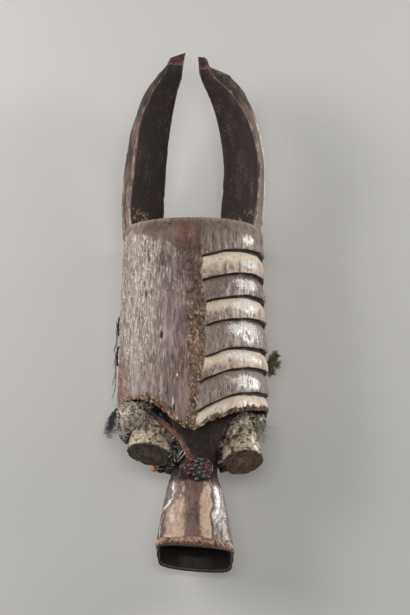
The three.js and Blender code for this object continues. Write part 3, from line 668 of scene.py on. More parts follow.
def vault_grid():
    """The vault's grid: each point's angle, its place in mm and where it lies on its band."""
    angle, wall = helmet_stations()
    g = SimpleNamespace()
    g.angle, g.share = np.meshgrid(angle, helmet_shares())
    g.wall = np.broadcast_to(wall, g.angle.shape)
    g.arc = np.radians(g.angle) * ARC_RADIUS - (1 - g.wall) * SPRINGING * np.where(g.angle < 90, 1, -1)
    g.length = BACK - values_at(BROW, g.angle)[..., 1]
    g.along = g.share * g.length
    g.to_brow = (1 - g.share) * g.length
    g.place = stack(g.arc, g.along, 0)
    g.band = np.clip(np.searchsorted(BAND_ENDS, g.share, "right") - 1, 0, LAST_BAND)
    start, end = BAND_ENDS[g.band], BAND_ENDS[g.band + 1]
    g.within = (g.share - start) / (end - start)
    g.after_start = (g.share - start) * g.length
    g.before_end = (end - g.share) * g.length
    g.band_length = (end - start) * g.length
    inner_wave = 0.6 * noise(stack(0, g.along, 0), 6, 4)
    g.inner_end = np.interp(g.share, BAND_ENDS, BAND_INNER) + inner_wave
    g.banded = 1 - ramp(g.inner_end - 2.5, g.inner_end + 0.5, g.angle)
    return g


def band_relief(g):
    """Overlapping bands: a flat-bottomed groove behind each step, then a slope that rises to the next one."""
    groove_wide = mix(3.4, 0.9, ramp(8, 78, g.angle)) * (g.band > 0)
    g.past_groove = g.after_start - groove_wide
    swelling = np.clip(g.past_groove / (g.band_length - groove_wide), 0, 1)
    low = np.where(g.band == 0, BAND_RISE * 0.6, -BAND_GROOVE)
    body = mix(low, BAND_RISE, np.sqrt(np.sin(np.pi / 2 * swelling)))
    g.foot = 1 - ramp(0.3, 0.75, g.before_end)
    body = body - 0.7 * (1 - ramp(0, 2.4, g.before_end)) - 1.6 * g.foot * (g.band < LAST_BAND)
    g.furrowed = ramp(0.38, 0.62, g.within + 0.12 * noise(g.place, [9, EVEN, 1], 7))
    drift = g.place + 2 * noise(g.place, 12, 8)[..., None] * [1, 0, 0]
    g.nicks = ridged(drift, np.array([3.4, 26, 1]), 5) * g.furrowed
    g.nicks = g.nicks * ramp(-0.5, 0.25, fractal(g.place, [22, 14, 1], 6)) * ramp(0.6, 2.0, g.before_end)
    tilt = 0.9 * fractal(g.place, [9, 20, 1], 9) + 0.7 * g.furrowed * noise(g.place, [3.6, 22, 1], 10)
    return body - 2 - 0.9 * g.nicks + tilt


def plain_relief(g):
    """Adze facets and long scratches on the plain side, crumbly towards its front."""
    g.smooth = patches(g, SMOOTH_PATCHES, 300)
    back_zone = mix(34, 8, ramp(105, 155, g.angle)) + 4 * noise(g.place, [9, EVEN, 1], 27)
    g.past_back = ramp(back_zone - 1, back_zone + 1.5, g.along)
    drift = g.place + 1.4 * noise(g.place, [9, 16, 1], 28)[..., None] * [1, 0, 0]
    g.scratch = ridged(drift, [3.0, 17, 1], 12) + 0.8 * ridged(drift, [2.8, 9, 1], 13)
    facet = fractal(drift, [15, 60, 1], 11, 2)
    crumb = ramp(130, 210, g.along) * (1 - ramp(96, 88, g.angle))
    g.roughest = mix(0.4, 1, ramp(116, 124, g.angle + 3 * noise(g.place, [6, 20, 1], 43)))
    left, right, back, front = BLOCK
    g.block = ramp(left - 0.6, left + 0.6, g.angle) * (1 - ramp(right - 0.6, right + 0.6, g.angle))
    g.block = g.block * ramp(back - 1, back + 1, g.along) * (1 - ramp(front, front + 40, g.along))
    crumbly = 0.9 * crumb * g.roughest * fractal(g.place, 3.4, 14)
    relief = 1.3 * facet - 0.75 * g.roughest * g.scratch + crumbly
    relief = relief * mix(0.25, 1, g.past_back) * (1 - 0.75 * g.smooth) - 0.9 * g.past_back
    return relief * (1 - 0.6 * g.block) + 0.7 * g.block


def strip_relief(g):
    """Crusted strip down the crown, with a ragged left side."""
    left_side = STRIP_LEFT + 1.8 * noise(g.place, [EVEN, 9, 1], 30) + 1.2 * noise(g.place, [4, 3.5, 1], 48)
    inner = ramp(g.inner_end - 2, g.inner_end + 1, g.angle)
    g.strip = inner * (1 - ramp(left_side - 0.6, left_side + 0.6, g.angle))
    g.strip = g.strip * ramp(30, 60, g.along + 8 * noise(g.place, 9, 31))
    slant = g.place + g.along[..., None] * [0.9, 0, 0]
    fine = ridged(slant + 1.8 * noise(g.place, 5, 22)[..., None], [3.6, 6, 1], 15)
    coarse = ridged(g.place + 2 * noise(g.place, 6, 34)[..., None], [6, 11, 1], 35)
    g.crust = np.maximum(fine, 0.9 * coarse)
    g.strip_edge = bell(g.angle - left_side, 0.7) * ramp(-0.2, 0.4, noise(g.place, [EVEN, 12, 1], 49))
    return -0.3 - 1.4 * g.crust + 0.9 * noise(g.place, [4, 2.6, 1], 16)


def fringe_relief(g):
    """Notched fringe along the brow, shallower and redder on its far left."""
    g.left_brow = ramp(124, 134, g.angle)
    deep = mix(6, 10.5, 0.5 + 0.5 * noise(g.place, [6, EVEN, 1], 17)) * mix(1, 0.85, ramp(66, 52, g.angle))
    beside_nose = ramp(91, 97, g.angle) * ramp(128, 120, g.angle)
    deep = deep * (1 - 0.45 * g.left_brow) * mix(1, 1.45, beside_nose)
    combed = stack(g.arc + 0.5 * g.to_brow * np.where(g.angle < 92, 1, -0.3), g.to_brow, 0)
    ragged = g.to_brow + 1.2 * noise(g.place, [3, 3, 1], 37) + 3.2 * ridged(combed, [2.6, 14, 1], 47) - 1.2
    g.fringe = 1 - ramp(deep - 2.5, deep + 0.5, ragged)
    g.nip = ridged(combed, [3.0, 9, 1], 18) * g.fringe
    relief = -2.2 * g.nip - 0.3 * g.fringe + 1.2 * noise(g.place, 2.8, 19) * g.fringe
    return relief * (1 - 0.4 * g.left_brow)


def vault_points(g):
    """The vault's rings: every relief in its place, and the lines of the bands waved and leaning."""
    banded, plain, strip, fringe = band_relief(g), plain_relief(g), strip_relief(g), fringe_relief(g)
    g.chip = patches(g, CHIPS, 290, 0.35)
    above_rim = g.wall > 0.4
    relief = mix(mix(plain, banded, g.banded), strip, g.strip * (1 - g.fringe))
    relief = relief - 0.8 * g.strip_edge * (1 - g.fringe) + fringe * above_rim - 1.4 * g.chip
    relief = relief * ramp(0, 0.012, g.share + 0.004)
    line = np.where(g.after_start < g.before_end, g.band, g.band + 1)
    wave = 0.8 * noise(stack(g.arc, line * 40.0, 0), 17, 3)
    right_side = ramp(112, 92, g.angle)
    lean = np.interp(g.share, BAND_ENDS, BAND_LEAN) * (np.cos(np.radians(g.angle)) - 0.47) * right_side
    droop = -2.6 * np.clip((g.angle - 56) / 28, 0, 1.2) ** 2 * right_side
    slip = (wave * g.banded + lean + droop) * ramp(0, 0.08, g.share) * (1 - ramp(0.955, 0.998, g.share))
    slip = slip + 2.4 * g.nip * ramp(0.975, 1, g.share) * above_rim
    points = helmet_point(g.angle, g.wall, g.share, relief, slip)
    points[..., 2] = np.where(g.wall < 0.02, 0, points[..., 2])
    return points


def vault_masks(g):
    """What the vault's material shows at every point; each mask is named in wood_material."""
    dark_zone = patches(g, DARK_PATCHES, 320, 0.25)
    ochre_zone = patches(g, OCHRE_PATCHES, 340, 0.5)
    purple_zone = np.maximum(patches(g, PURPLE_PATCHES, 360, 0.6), 0.9 * g.block)
    red_zone = patches(g, RED_PATCHES, 380, 0.6)
    highlight = patches(g, HIGHLIGHTS, 420, 0.5)
    to_inner = g.inner_end - g.angle
    creamy = np.isin(g.band, CREAM_BANDS)
    off_strip = (1 - g.banded) * (1 - g.strip)
    plain = off_strip * (1 - g.fringe) * g.past_back
    towards_brow = ramp(150, 215, g.along)

    cream_band = creamy * g.banded * ramp(0.3, 0.9, g.past_groove) * ramp(0, 2.5, to_inner)
    worn_low = g.furrowed * (0.25 + 0.6 * fractal(g.place, [6, 16, 1], 33))
    worn_left = ramp(26, 8, to_inner) * ramp(0.3, 0.8, g.within)
    worn_left = worn_left * (0.55 + 0.5 * fractal(g.place, [9, 9, 1], 38)) * (g.band < LAST_BAND)
    worn = np.clip(np.maximum(worn_low * (g.band < LAST_BAND), worn_left), 0, 1)
    cream = cream_band * (1.25 - 0.45 * g.within) * (1 - 0.5 * g.nicks) * (1 - worn)
    cream = cream * np.where(g.band == 3, 0.88, np.where(g.band > 4, 1.12, 1))

    # The dark lines in each groove, at each band's foot and just past its groove are partly dirt and partly
    # painted shadow under the band's raised edge
    groove = g.banded * (1 - ramp(0.0, 0.9, g.past_groove)) * (g.band > 0)
    speck = ramp(0.2, 0.55, noise(g.place, [2.8, 2.4, 1], 21))
    dirt = most(
        groove, g.banded * g.foot * (g.band < LAST_BAND), g.banded * g.nicks * 0.4,
        g.banded * (1 - ramp(0, 9, g.past_groove)) * 0.1 * (1 - cream_band), g.banded * worn_left * 0.35,
        g.strip * (1 - g.fringe) * (0.1 + 0.45 * g.crust + 0.55 * fractal(g.place, [8, 12, 1], 36)),
        0.5 * g.strip_edge, g.fringe * 0.6 * g.nip,
        off_strip * g.past_back * 0.42 * ramp(0.6, 1.4, g.scratch) * (1 - g.smooth),
        0.42 * dark_zone, 0.9 * g.chip,
    )
    right_faded = mix(1, 0.55, ramp(80, 60, g.angle))
    wear = most(
        g.banded * (1 - ramp(0, 1.6, g.before_end)) * 0.3 * (1 - g.foot),
        g.strip * (1 - g.crust) * speck * 0.5, ochre_zone * 0.5,
        g.fringe * (1 - g.nip) * (0.3 + 0.6 * speck) * right_faded * (1 - 0.6 * g.left_brow),
    )

    red = 0.8 * red_zone + 0.3 * ramp(-0.1, 0.5, fractal(g.place, [22, 60, 1], 23)) + 0.5 * dark_zone
    red = np.clip(red + 0.45 * g.fringe * g.left_brow + 0.3 * towards_brow * (1 - g.banded), 0, 1)
    grey = plain * (0.62 + 0.45 * fractal(g.place, [9, 60, 1], 24))
    grey = grey * (1 - 0.85 * red_zone) * (1 - 0.75 * purple_zone)
    grey = grey * (1 - 0.45 * towards_brow) * mix(0.75, 1, g.roughest)
    lighter = 0.5 + 0.28 * np.isin(g.band, PALE_BANDS) + 0.3 * fractal(g.place, [5, 30, 1], 39)
    grey = grey + lighter * g.banded + 0.15 * (1 - g.past_back) * (1 - g.banded)
    # Painted highlight: a pale line along the back rim
    grey = grey + 0.5 * (1 - ramp(1, 6, g.along))
    grey = np.clip(grey * (1 - 0.85 * dark_zone) + 0.3 * g.strip * (1 - g.crust), 0, 1)
    # Painted highlight: the patches above are whitened in colour as well as glossed; the small plain-side
    # highlights join them
    gloss_and_painted_highlight = patches(g, PAINTED_HIGHLIGHT_PATCHES, 400, 0.55) * g.banded * (1 - 0.6 * g.nicks) * ramp(0, 2, g.before_end)
    gloss_and_painted_highlight = np.maximum(gloss_and_painted_highlight * (1 - g.fringe) * mix(0.72, 0.95, creamy), 0.45 * highlight)
    lower_half = 1 - ramp(6, 13, g.before_end)
    gloss = 0.45 + 0.4 * fractal(g.place, [8, 24, 1], 26) + 0.5 * gloss_and_painted_highlight
    gloss = gloss * mix(0.3, 1, np.maximum(g.past_back, g.banded * lower_half))
    gloss = gloss * (1 - 0.5 * g.strip) * (1 - 0.6 * g.fringe)

    ochre = np.maximum(ochre_zone, 0.45 * g.fringe * (g.angle > 95))
    scratched = plain * (1 - g.smooth) * mix(0.5, 1, g.roughest)
    scratched = scratched * (1 - 0.5 * towards_brow) * (1 - 0.5 * g.block)
    band_marks = g.furrowed * (0.45 + 0.6 * fractal(g.place, [9, 20, 1], 45)) * ramp(0.5, 1.5, g.before_end)
    past_inner = g.angle - g.inner_end
    at_band_ends = ramp(-2.5, 2, past_inner + 2) * (1 - ramp(1, 3, past_inner)) * ramp(50, 80, g.along)
    bristly = most(
        g.strip * (0.6 + 0.5 * fractal(g.place, [7, 12, 1], 42)) * ramp(60, 110, g.along),
        0.8 * at_band_ends * ramp(-0.2, 0.4, noise(g.place, [5, 7, 1], 44)),
        g.fringe * mix(1, 0.6, g.left_brow),
    )
    dull_side = np.maximum(ramp(66, 54, g.angle), 0.25 * ramp(97, 110, g.angle))
    return masks(
        g.angle.shape, paint=(cream, dirt, wear), tone=(red, grey, gloss),
        mark=(purple_zone * plain, ochre, np.maximum(scratched, g.banded * band_marks)),
        coat=(gloss_and_painted_highlight, bristly, np.maximum(g.fringe * dull_side, 0.15 * g.strip)),
    )


# Under the brow: inset from its edge, step back and least height, for two stages; then where the hollow ends
BROW_HOLLOW = [(8, 3, 22), (13, 22, 27)]
BROW_HOLLOW_MIDDLE = (0, -108, 66)
HOLLOW_FROM = 40
HOLLOW_BACK = -112


def hollow_point(edge, inset, back, floor):
    """A point of the hollow under the brow, led inwards from the brow's edge."""
    x, y, z = np.moveaxis(edge, -1, 0)
    above = np.maximum(z - HOLLOW_FROM, 0)
    reach = np.hypot(x, above)
    scale = np.maximum(reach - inset, 1) / reach
    lifted = np.where(z > HOLLOW_FROM, HOLLOW_FROM + above * scale, z)
    return stack(x * scale, np.minimum(y + back, np.maximum(HOLLOW_BACK, y)), np.maximum(floor, lifted))


def helmet_solid():
    """The dome with its back wall and the hollow under the brow, still filled."""
    g = vault_grid()
    points = vault_points(g)
    attributes = vault_masks(g)
    front = []
    stages = [(0, 0, 0)] + BROW_HOLLOW
    for before, after, count in zip(stages[:-1], stages[1:], (4, 6)):
        for part in np.linspace(0, 1, count + 1)[1:]:
            front.append(hollow_point(points[-1], *mix(np.array(before), np.array(after), part)))
    front = np.array(front + closing_rings(front[-1], 5, BROW_HOLLOW_MIDDLE))
    back = np.array(closing_rings(points[0], 9, BACK_MIDDLE)[::-1])
    front[4:] = front[4:] + 0.5 * fractal(front[4:], 9, 31)[..., None] * [0, 1, 0.4]
    back[:-1, :, 1] += 0.5 * fractal(back[:-1], [10, 1, 10], 32)

    # Painted shade: the hollow under the brow is painted near black
    ends = {"paint": ((0, 0.25, 0), (0, 1.1, 0)), "tone": ((0.2, 0.1, 0.3), (0.3, 0, 0)),
            "mark": ((0, 0, 0), (0, 0, 0)), "coat": ((0, 0, 0), (0, 0.35, 1))}
    for key, (at_back, at_front) in ends.items():
        blocks = np.broadcast_to(at_back, back.shape), attributes[key], np.broadcast_to(at_front, front.shape)
        attributes[key] = np.concatenate(blocks)
    return grid_solid("carved_body", np.concatenate([back, points, front]), attributes, WOOD)


# Neck and muzzle

# y, then the middle, half width, top and bottom of the ring there
MUZZLE = [
    [-98, 0, 76, 104, 20], [-116, 1, 72, 109, 19], [-130, 2, 61, 112, 19], [-145, 2.5, 47, 111, 20],
    [-160, 3, 37, 107.5, 22], [-175, 3, 30.5, 103, 24], [-190, 3, 27.5, 99.5, 26],
    [-205, 3, 28.5, 98.5, 26], [-225, 3.3, 34.5, 99.5, 24.5], [-250, 3.6, 39.5, 101, 23],
    [-274, 4, 42.8, 102, 22], [-297, 4, 45, 102, 22],
]
LIP_X = 4
LIP_Y = -297
LIP_SLOPE = (-0.08, 0.236)
LIP_MIDDLE = 62
LIP_HALF_WIDTH = 45
LIP_TOP = 102
LIP_BOTTOM = 22
LIP_WALL = {"side": 3.5, "top": 10.5, "bottom": 9.5}
MOUTH_DEPTH = 82
# Depth in the mouth, how far its opening draws in all round and how far it narrows at the sides
MOUTH_STEPS = np.array([
    [-4, -1.5, 0], [0, 0, 0], [12, 2.2, 0], [0.6 * MOUTH_DEPTH, 3, 12], [0.92 * MOUTH_DEPTH, 3, 19],
    [MOUTH_DEPTH, 10, 22],
])
# Powers of the arcs above and below: round along the neck, nearly square at the lips
ARCH_ROUND = 1.15
ARCH_SQUARE = 0.6
SQUARE_FROM = 235
NECK_ARCH = 0.54
MOUTH_RISE = 10
CAVITY_BACK = 93
CAVITY_FRONT = -88
CAVITY_ROUNDING = 26
CAVITY_SPRINGING = 52


def arched_ring(centre, half, top, bottom, steps, square, square_rise=None):
    """x and z round an arched top, straight sides and an arched bottom."""
    round_rise = min(NECK_ARCH * half, 40)
    rise = mix(round_rise, square_rise or round_rise, square)
    fall = min(0.5 * half, 22)
    a = np.linspace(0, np.pi, steps)
    arch = np.abs(np.sin(a)) ** mix(ARCH_ROUND, ARCH_SQUARE, square)
    upper = np.array([centre + half * np.cos(a), top - rise + rise * arch])
    lower = np.array([centre - half * np.cos(a), bottom + fall - fall * arch])
    side = np.linspace(0, 1, 9)[1:-1]
    left, right = mix(upper[:, -1:], lower[:, :1], side), mix(lower[:, -1:], upper[:, :1], side)
    return np.concatenate([upper, left, lower, right], axis=1)


def lip_plane(x, z):
    return LIP_Y + LIP_SLOPE[0] * (x - LIP_X) + LIP_SLOPE[1] * (z - LIP_MIDDLE)


def outward(rings):
    """Rough outward directions of rings, across the muzzle's length."""
    middle = rings.mean(axis=1, keepdims=True)
    away = (rings - middle) * [1, 0, 1]
    return away / (np.linalg.norm(away, axis=-1, keepdims=True) + 1e-6)


def muzzle_grid():
    """The muzzle's rings, with facets, furrows and the combed rim above the lips."""
    ys = np.concatenate([np.linspace(MUZZLE[0][0], -200, 50), np.linspace(-200, LIP_Y, 68)[1:]])
    rings = []
    for y in ys:
        _, centre, half, top, bottom = values_at(MUZZLE, y)
        x, z = arched_ring(centre, half, top, bottom, 62, ramp(SQUARE_FROM, -LIP_Y, -y))
        rings.append(stack(x, y + ramp(-245, LIP_Y, y) * (lip_plane(x, z) - LIP_Y), z))
    rings = np.array(rings)
    g = SimpleNamespace()
    g.to_lip = rings[..., 1] - lip_plane(rings[..., 0], rings[..., 2])
    rim_deep = 7 + 2.5 * noise(rings, [9, EVEN, 9], 44)
    g.rim = (1 - ramp(rim_deep - 1, rim_deep + 1, g.to_lip)) * ramp(66, 80, rings[..., 2])
    g.nip = ridged(rings, [3.4, 12, 3.4], 45)
    g.edge = 1 - ramp(0, 2.2, g.to_lip)
    g.furrow = ridged(rings, [4, 26, 4], 42)
    facets = 1.5 * fractal(rings, [12, 34, 12], 41, 2) - 0.7 * g.furrow + 0.3 * noise(rings, 2.8, 43)
    combed = 1.1 - 1.8 * g.nip + 1.0 * noise(rings, 3, 46)
    relief = facets * (1 - g.rim) + g.rim * combed - 1.2 * g.edge
    relief = relief * ramp(-104, -112, rings[..., 1])
    g.rings = rings + outward(rings) * relief[..., None]
    return g


def muzzle_masks(g):
    """What the muzzle's and neck's material shows at every point."""
    rings, rim = g.rings, g.rim
    x, y, z = np.moveaxis(rings, -1, 0)
    top = ramp(72, 88, z)
    warp = x + 6 * fractal(rings, [11, 15, 11], 47)
    outer_left = mix(-17, -33, ramp(-222, -262, y))
    past_neck = ramp(-205, -222, y)
    left_patch = ramp(outer_left - 3, outer_left + 4, warp) * (1 - ramp(-14, -2, warp)) * past_neck
    right_patch = ramp(5, 16, warp) * (1 - ramp(21, 26, warp)) * past_neck
    bare = top * np.maximum(left_patch, right_patch)
    mottled = ramp(-245, -215, y) * ramp(-0.4, 0.4, noise(rings, [3, 4, 3], 64))
    cream = bare * (0.7 + 0.35 * right_patch + 0.5 * fractal(rings, 6, 48) - 0.7 * mottled) * (1 - 0.8 * rim)
    crumbs = rim * ramp(-0.1, 0.4, noise(rings, 3.0, 49)) * mix(0.35, 0.75, ramp(25, -15, x))
    # Painted highlights: a crisp pale patch on the right flank and a thin pale line along the left shoulder's
    # edge, where the gloss catches the light
    right_flank_highlight = ramp(22, 28, warp) * ramp(-212, -222, y)
    contour = bell(warp - 24, 1.3) * top * ramp(-214, -222, y) * (1 - rim)
    left_highlight_line = bell(warp - outer_left + 4, 0.9) * top * ramp(-208, -216, y) * (1 - rim)
    neck = ramp(-222, -206, y + 4 * noise(rings, 9, 56))
    stripe = ramp(-9, -3, warp) * (1 - ramp(9, 13, warp)) * (1 - neck)
    left_flank = ramp(-20, -28, warp) * (1 - neck)
    shoulder = bell(distance_to_arris(rings), 6) * ramp(-150, -158, y)
    low_lip = ramp(16, 11, g.to_lip) * ramp(90, 78, z)
    dirt = most(
        rim * 0.5 * g.nip, neck * (0.82 + 0.25 * fractal(rings, 9, 54)) * (1 - 0.6 * shoulder),
        0.4 * g.furrow * (1 - rim), stripe * (0.3 + 0.45 * fractal(rings, [5, 8, 5], 55)),
        left_flank * (0.45 + 0.3 * fractal(rings, [7, 20, 7], 57)), 0.7 * contour, low_lip,
    )
    dirt = np.maximum(dirt * (1 - 0.7 * crumbs), 0.5 * ramp(-235, -208, y) * ramp(24, 30, np.abs(x - 3)))
    wear = most(
        g.edge * 0.5 * ramp(72, 84, z), 0.4 * shoulder,
        rim * (1 - g.nip) * (0.55 + 0.5 * noise(rings, 3, 50)),
    )
    red = 0.3 + 0.3 * fractal(rings, 20, 52) + 0.2 * neck + 0.6 * bare + 0.55 * stripe
    # The right flank's and the left line's grey, gloss and coat paint their highlights
    grey = (0.3 * ramp(-205, -230, y) + 0.45 * right_flank_highlight) * (1 - 0.4 * stripe) * (1 - left_flank)
    grey = grey + 0.5 * left_highlight_line + 0.08 * stripe
    gloss = 0.4 + 0.35 * fractal(rings, 12, 53) + 0.6 * right_flank_highlight + 0.6 * left_highlight_line - 0.3 * neck
    gloss_and_painted_highlight = right_flank_highlight * top * ramp(34, 29, warp) * (0.56 + 0.6 * fractal(rings, [4, 14, 4], 58)) * (1 - rim)
    scratched = 0.4 * (1 - rim) * (1 - neck) * (1 - stripe) * (1 - bare)
    line_painted_highlight = 0.75 * left_highlight_line * ramp(-0.6, -0.1, noise(rings, [6, 12, 6], 59))
    return masks(
        x.shape, paint=(np.maximum(cream, crumbs), dirt, wear), tone=(red, grey, gloss * (1 - 0.9 * low_lip)),
        mark=(0, np.maximum(0.7 * rim, 0.45 * shoulder), scratched),
        coat=(np.maximum(gloss_and_painted_highlight * (1 - contour), line_painted_highlight), 0.85 * rim * (1 - 0.6 * crumbs), 0),
    )


def muzzle_solid():
    g = muzzle_grid()
    return grid_solid("muzzle", g.rings, muzzle_masks(g), WOOD)


# Edge between the neck's left shoulder and its hollow: y, x, z
ARRIS = [
    [-196, -12, 96], [-189, -3.5, 99.2], [-183, -3.3, 100.6], [-175, -10, 101.2], [-166, -17.5, 101.5],
    [-158, -26.5, 99.8], [-150, -33, 98.6], [-140, -41, 97], [-127, -50, 95],
]
# Rounded ridge of wood that runs from under the brow down the neck's left shoulder
RIDGE = [
    [-60, -104, 99], [-52.4, -124, 101.5], [-45, -134, 102], [-38.4, -140, 102.5], [-29.5, -147, 103],
    [-20.4, -155, 102.5], [-13.2, -163.5, 101.8], [-7.2, -174.7, 99.8], [-3, -184.7, 96.5],
]
RIDGE_RADIUS = 4.4
RIDGE_CLEARANCE = 0.6


def ridge_solid(grow=0.0):
    """The ridge, or with grow its smooth and larger tool."""
    t = np.linspace(0, 1, 64)
    path = spline(RIDGE, t)
    rings = tube(path, RIDGE_RADIUS * mix(1, 0.75, ramp(0.6, 1, t)) + grow, 22)
    if not grow:
        rough = 0.16 * fractal(rings, [5, 9, 5], 67) - 0.12 * ridged(rings, [3, 12, 3], 68)
        rings = rings + (rings - path[:, None]) * rough[..., None]
    side = unit(rings - path[:, None])
    # Painted highlight: lit_edge makes the side that faces the light from the front left lighter through wear
    # and less dark through dirt
    lit_edge = bell(side @ unit((-0.8, -0.45, 0.35)) - 0.95, 0.16)
    by_brow = ramp(0.5, 0.3, t)[:, None]
    wear = (0.3 + 0.4 * noise(rings, [4, 9, 4], 69) + 0.6 * lit_edge) * (1 - 0.7 * by_brow)
    dirt = 0.42 + 0.6 * fractal(rings, [6, 12, 6], 71) - 0.35 * lit_edge + 0.3 * by_brow
    paint = (0, np.clip(dirt, 0, 1), np.clip(wear, 0, 1))
    marks = masks(wear.shape, paint=paint, tone=(0.7, 0.05, 0.4), mark=(0, 0.45, 0))
    return grid_solid("ridge", rings, marks, WOOD)


def distance_to_arris(points):
    """How far points lie from the arris, in mm."""
    y = points[..., 1]
    edge = values_at(ARRIS, np.clip(y, ARRIS[0][0], ARRIS[-1][0]))
    beyond = np.maximum(ARRIS[0][0] - y, 0)
    return np.hypot(points[..., 0] - edge[..., 1], points[..., 2] - edge[..., 2]) + 2 * beyond


def inner_marks(name, rings, dirt, red=0.3, wear=0.1, gloss=0.25):
    """A cutter in the wood's material, with even masks for the faces that it leaves."""
    even = masks(np.shape(rings)[:2], paint=(0, dirt, wear), tone=(red, 0.05, gloss), mark=(0, 0, 0))
    return grid_solid(name, rings, even, WOOD)


def inner_solid(name, rings, dirt, rough, seed):
    """A cutter whose faces are uneven, all but its first ring."""
    rings = np.array(rings, float)
    rings[1:] = (rings + outward(rings) * rough * fractal(rings, [9, 24, 9], seed)[..., None])[1:]
    return inner_marks(name, rings, dirt)


def mouth_solid():
    """Tool for the mouth: its opening flares at the lips and narrows and rounds further in."""
    rings = []
    for depth in np.concatenate([[-4, -2], np.linspace(0, MOUTH_DEPTH, 50)]):
        flare, narrow = [np.interp(depth, MOUTH_STEPS[:, 0], column) for column in MOUTH_STEPS.T[1:]]
        half = LIP_HALF_WIDTH - LIP_WALL["side"] - flare - narrow
        top, bottom = LIP_TOP - LIP_WALL["top"] - flare, LIP_BOTTOM + LIP_WALL["bottom"] + flare
        x, z = arched_ring(LIP_X, half, top, bottom, 44, 1 - ramp(5, 0.7 * MOUTH_DEPTH, depth), MOUTH_RISE)
        lean = 1 - ramp(12, 0.6 * MOUTH_DEPTH, depth)
        rings.append(stack(x, mix(LIP_Y + 5, lip_plane(x, z), lean) + depth, z))
    return inner_solid("mouth_tool", rings + closing_rings(rings[-1], 5), 0.8, 0.5, 61)


def cavity_solid():
    """Tool for the head cavity: a vault that shrinks a little towards its rounded ends."""
    round_back, round_front = CAVITY_BACK - CAVITY_ROUNDING, CAVITY_FRONT + CAVITY_ROUNDING
    ys = np.concatenate([
        np.linspace(CAVITY_BACK, round_back, 14), np.linspace(round_back, round_front, 40)[1:],
        np.linspace(round_front, CAVITY_FRONT, 14)[1:],
    ])
    a, drop = np.linspace(0, np.pi, 48), np.linspace(0, 1, 12)
    rings = []
    for y in ys:
        to_end = min(CAVITY_BACK - y, y - CAVITY_FRONT, CAVITY_ROUNDING) / CAVITY_ROUNDING
        roundness = math.sqrt(1 - (1 - to_end) ** 2)
        half = (half_width(y) - WALL) * mix(0.93, 1, roundness)
        top = (crown(y) - CROWN_THICKNESS) * mix(0.72, 1, roundness)
        x = [mix(half - 2, half, drop[:-1]), half * np.cos(a), mix(-half, 2 - half, drop[1:])]
        z = [mix(-5, CAVITY_SPRINGING, drop[:-1]), mix(CAVITY_SPRINGING, top, np.sin(a)),
             mix(CAVITY_SPRINGING, -5, drop[1:])]
        rings.append(stack(np.concatenate(x), y, np.concatenate(z)))
    rings = closing_rings(rings[0], 4)[::-1] + rings + closing_rings(rings[-1], 4)
    return inner_solid("cavity_tool", rings, 0.4, 0.9, 62)


# Horns

# Each horn by three edges, from root to end, and by two steps of its blunt tip that end every edge
LEFT_HORN = {
    "outer": [
        [-84.3, 92, 69], [-88, 130, 72], [-86.5, 165, 75], [-82, 202, 79], [-75, 240, 85],
        [-60, 280, 92], [-42, 306, 97],
    ],
    "ridge": [
        [-73, 92, 91], [-77, 130, 95], [-73.5, 165, 98], [-70, 202, 102], [-63.5, 243, 105],
        [-48, 281, 108], [-33, 303, 109],
    ],
    "inner": [
        [-37, 92, 46], [-35.5, 130, 49], [-33.5, 165, 58], [-31.5, 202, 67], [-26.5, 243, 78],
        [-19.5, 280, 89], [-13, 302, 97],
    ],
    "shoulder": [[-31, 317, 97], [-29.5, 315.5, 105], [-11.5, 316, 102.5]],
    "tip": [[-28, 328, 91], [-26, 329, 95], [-8.5, 336.5, 93]],
}
RIGHT_HORN = {
    "outer": [
        [84.3, 92, 69], [88, 130, 72], [89.5, 165, 75], [89, 202, 79], [81.5, 243, 86], [66, 281, 91],
        [47, 304, 96],
    ],
    "ridge": [
        [73.5, 92, 91], [80, 130, 95], [83, 165, 98], [81, 200, 102], [70, 240, 105], [51, 271, 108],
        [28, 294, 110],
    ],
    "inner": [
        [35, 92, 46], [34.5, 130, 49], [37, 165, 56], [38.5, 198, 62], [32, 243, 73], [21.5, 276, 84],
        [12, 296, 94],
    ],
    "shoulder": [[22.5, 315, 97], [18.5, 310, 105], [8, 309.5, 103]],
    "tip": [[19.5, 322, 92], [15.5, 329.5, 94], [6.8, 330.5, 93.5]],
}
HORN_BOTTOM = (34, 84)
HORN_ROWS = 96
# Points from each of the seven corners of a horn's ring to the next
HORN_COUNTS = (8, 6, 6, 15, 15, 7, 11)


def horn_rails(horn):
    """The outer edge, ridge and inner edge with the steps of the blunt tip, and shares along the horn."""
    t = np.linspace(0, 1, HORN_ROWS)
    extra = np.linspace(0, 1, 7)[1:, None]
    rails = []
    steps = np.array([horn["shoulder"], horn["tip"]], float)
    for key, shoulder, tip in zip(("outer", "ridge", "inner"), *steps):
        rail = spline(horn[key], t)
        rails.append(np.concatenate([rail, mix(rail[-1], shoulder, extra), mix(shoulder, tip, extra)]))
    return rails, np.concatenate([t * 16, 16 + extra[:, 0], 17 + extra[:, 0]]) / 18


def horn_rings(out, top, inn, along):
    """Rings round a horn, through seven corners with HORN_COUNTS points from each to the next."""
    bottom = mix(*HORN_BOTTOM, np.minimum(along * 18 / 17, 1) ** 0.9)
    side = math.copysign(1, out[0, 0])
    out_bottom, inn_bottom = mix(out, inn, 0.08), mix(inn, out, 0.05)
    out_bottom[:, 2] = np.minimum(bottom, out[:, 2] - 9)
    inn_bottom[:, 2] = np.minimum(bottom, inn[:, 2] - 6)
    out_middle = mix(out, top, 0.5) + [side * 1.2, 0, 1.2]
    inn_middle = mix(inn, top, 0.5) + [side * 0.8, 0, -0.8]
    corners = [out_bottom, out, out_middle, top, inn_middle, inn, inn_bottom]
    pieces = []
    for a, b, count in zip(corners, corners[1:] + corners[:1], HORN_COUNTS):
        pieces.append(mix(a[:, None], b[:, None], np.linspace(0, 1, count + 1)[:-1, None]))
    rings = np.concatenate(pieces, axis=1)
    return (np.roll(rings, 1, axis=1) + 2 * rings + np.roll(rings, -1, axis=1)) / 4


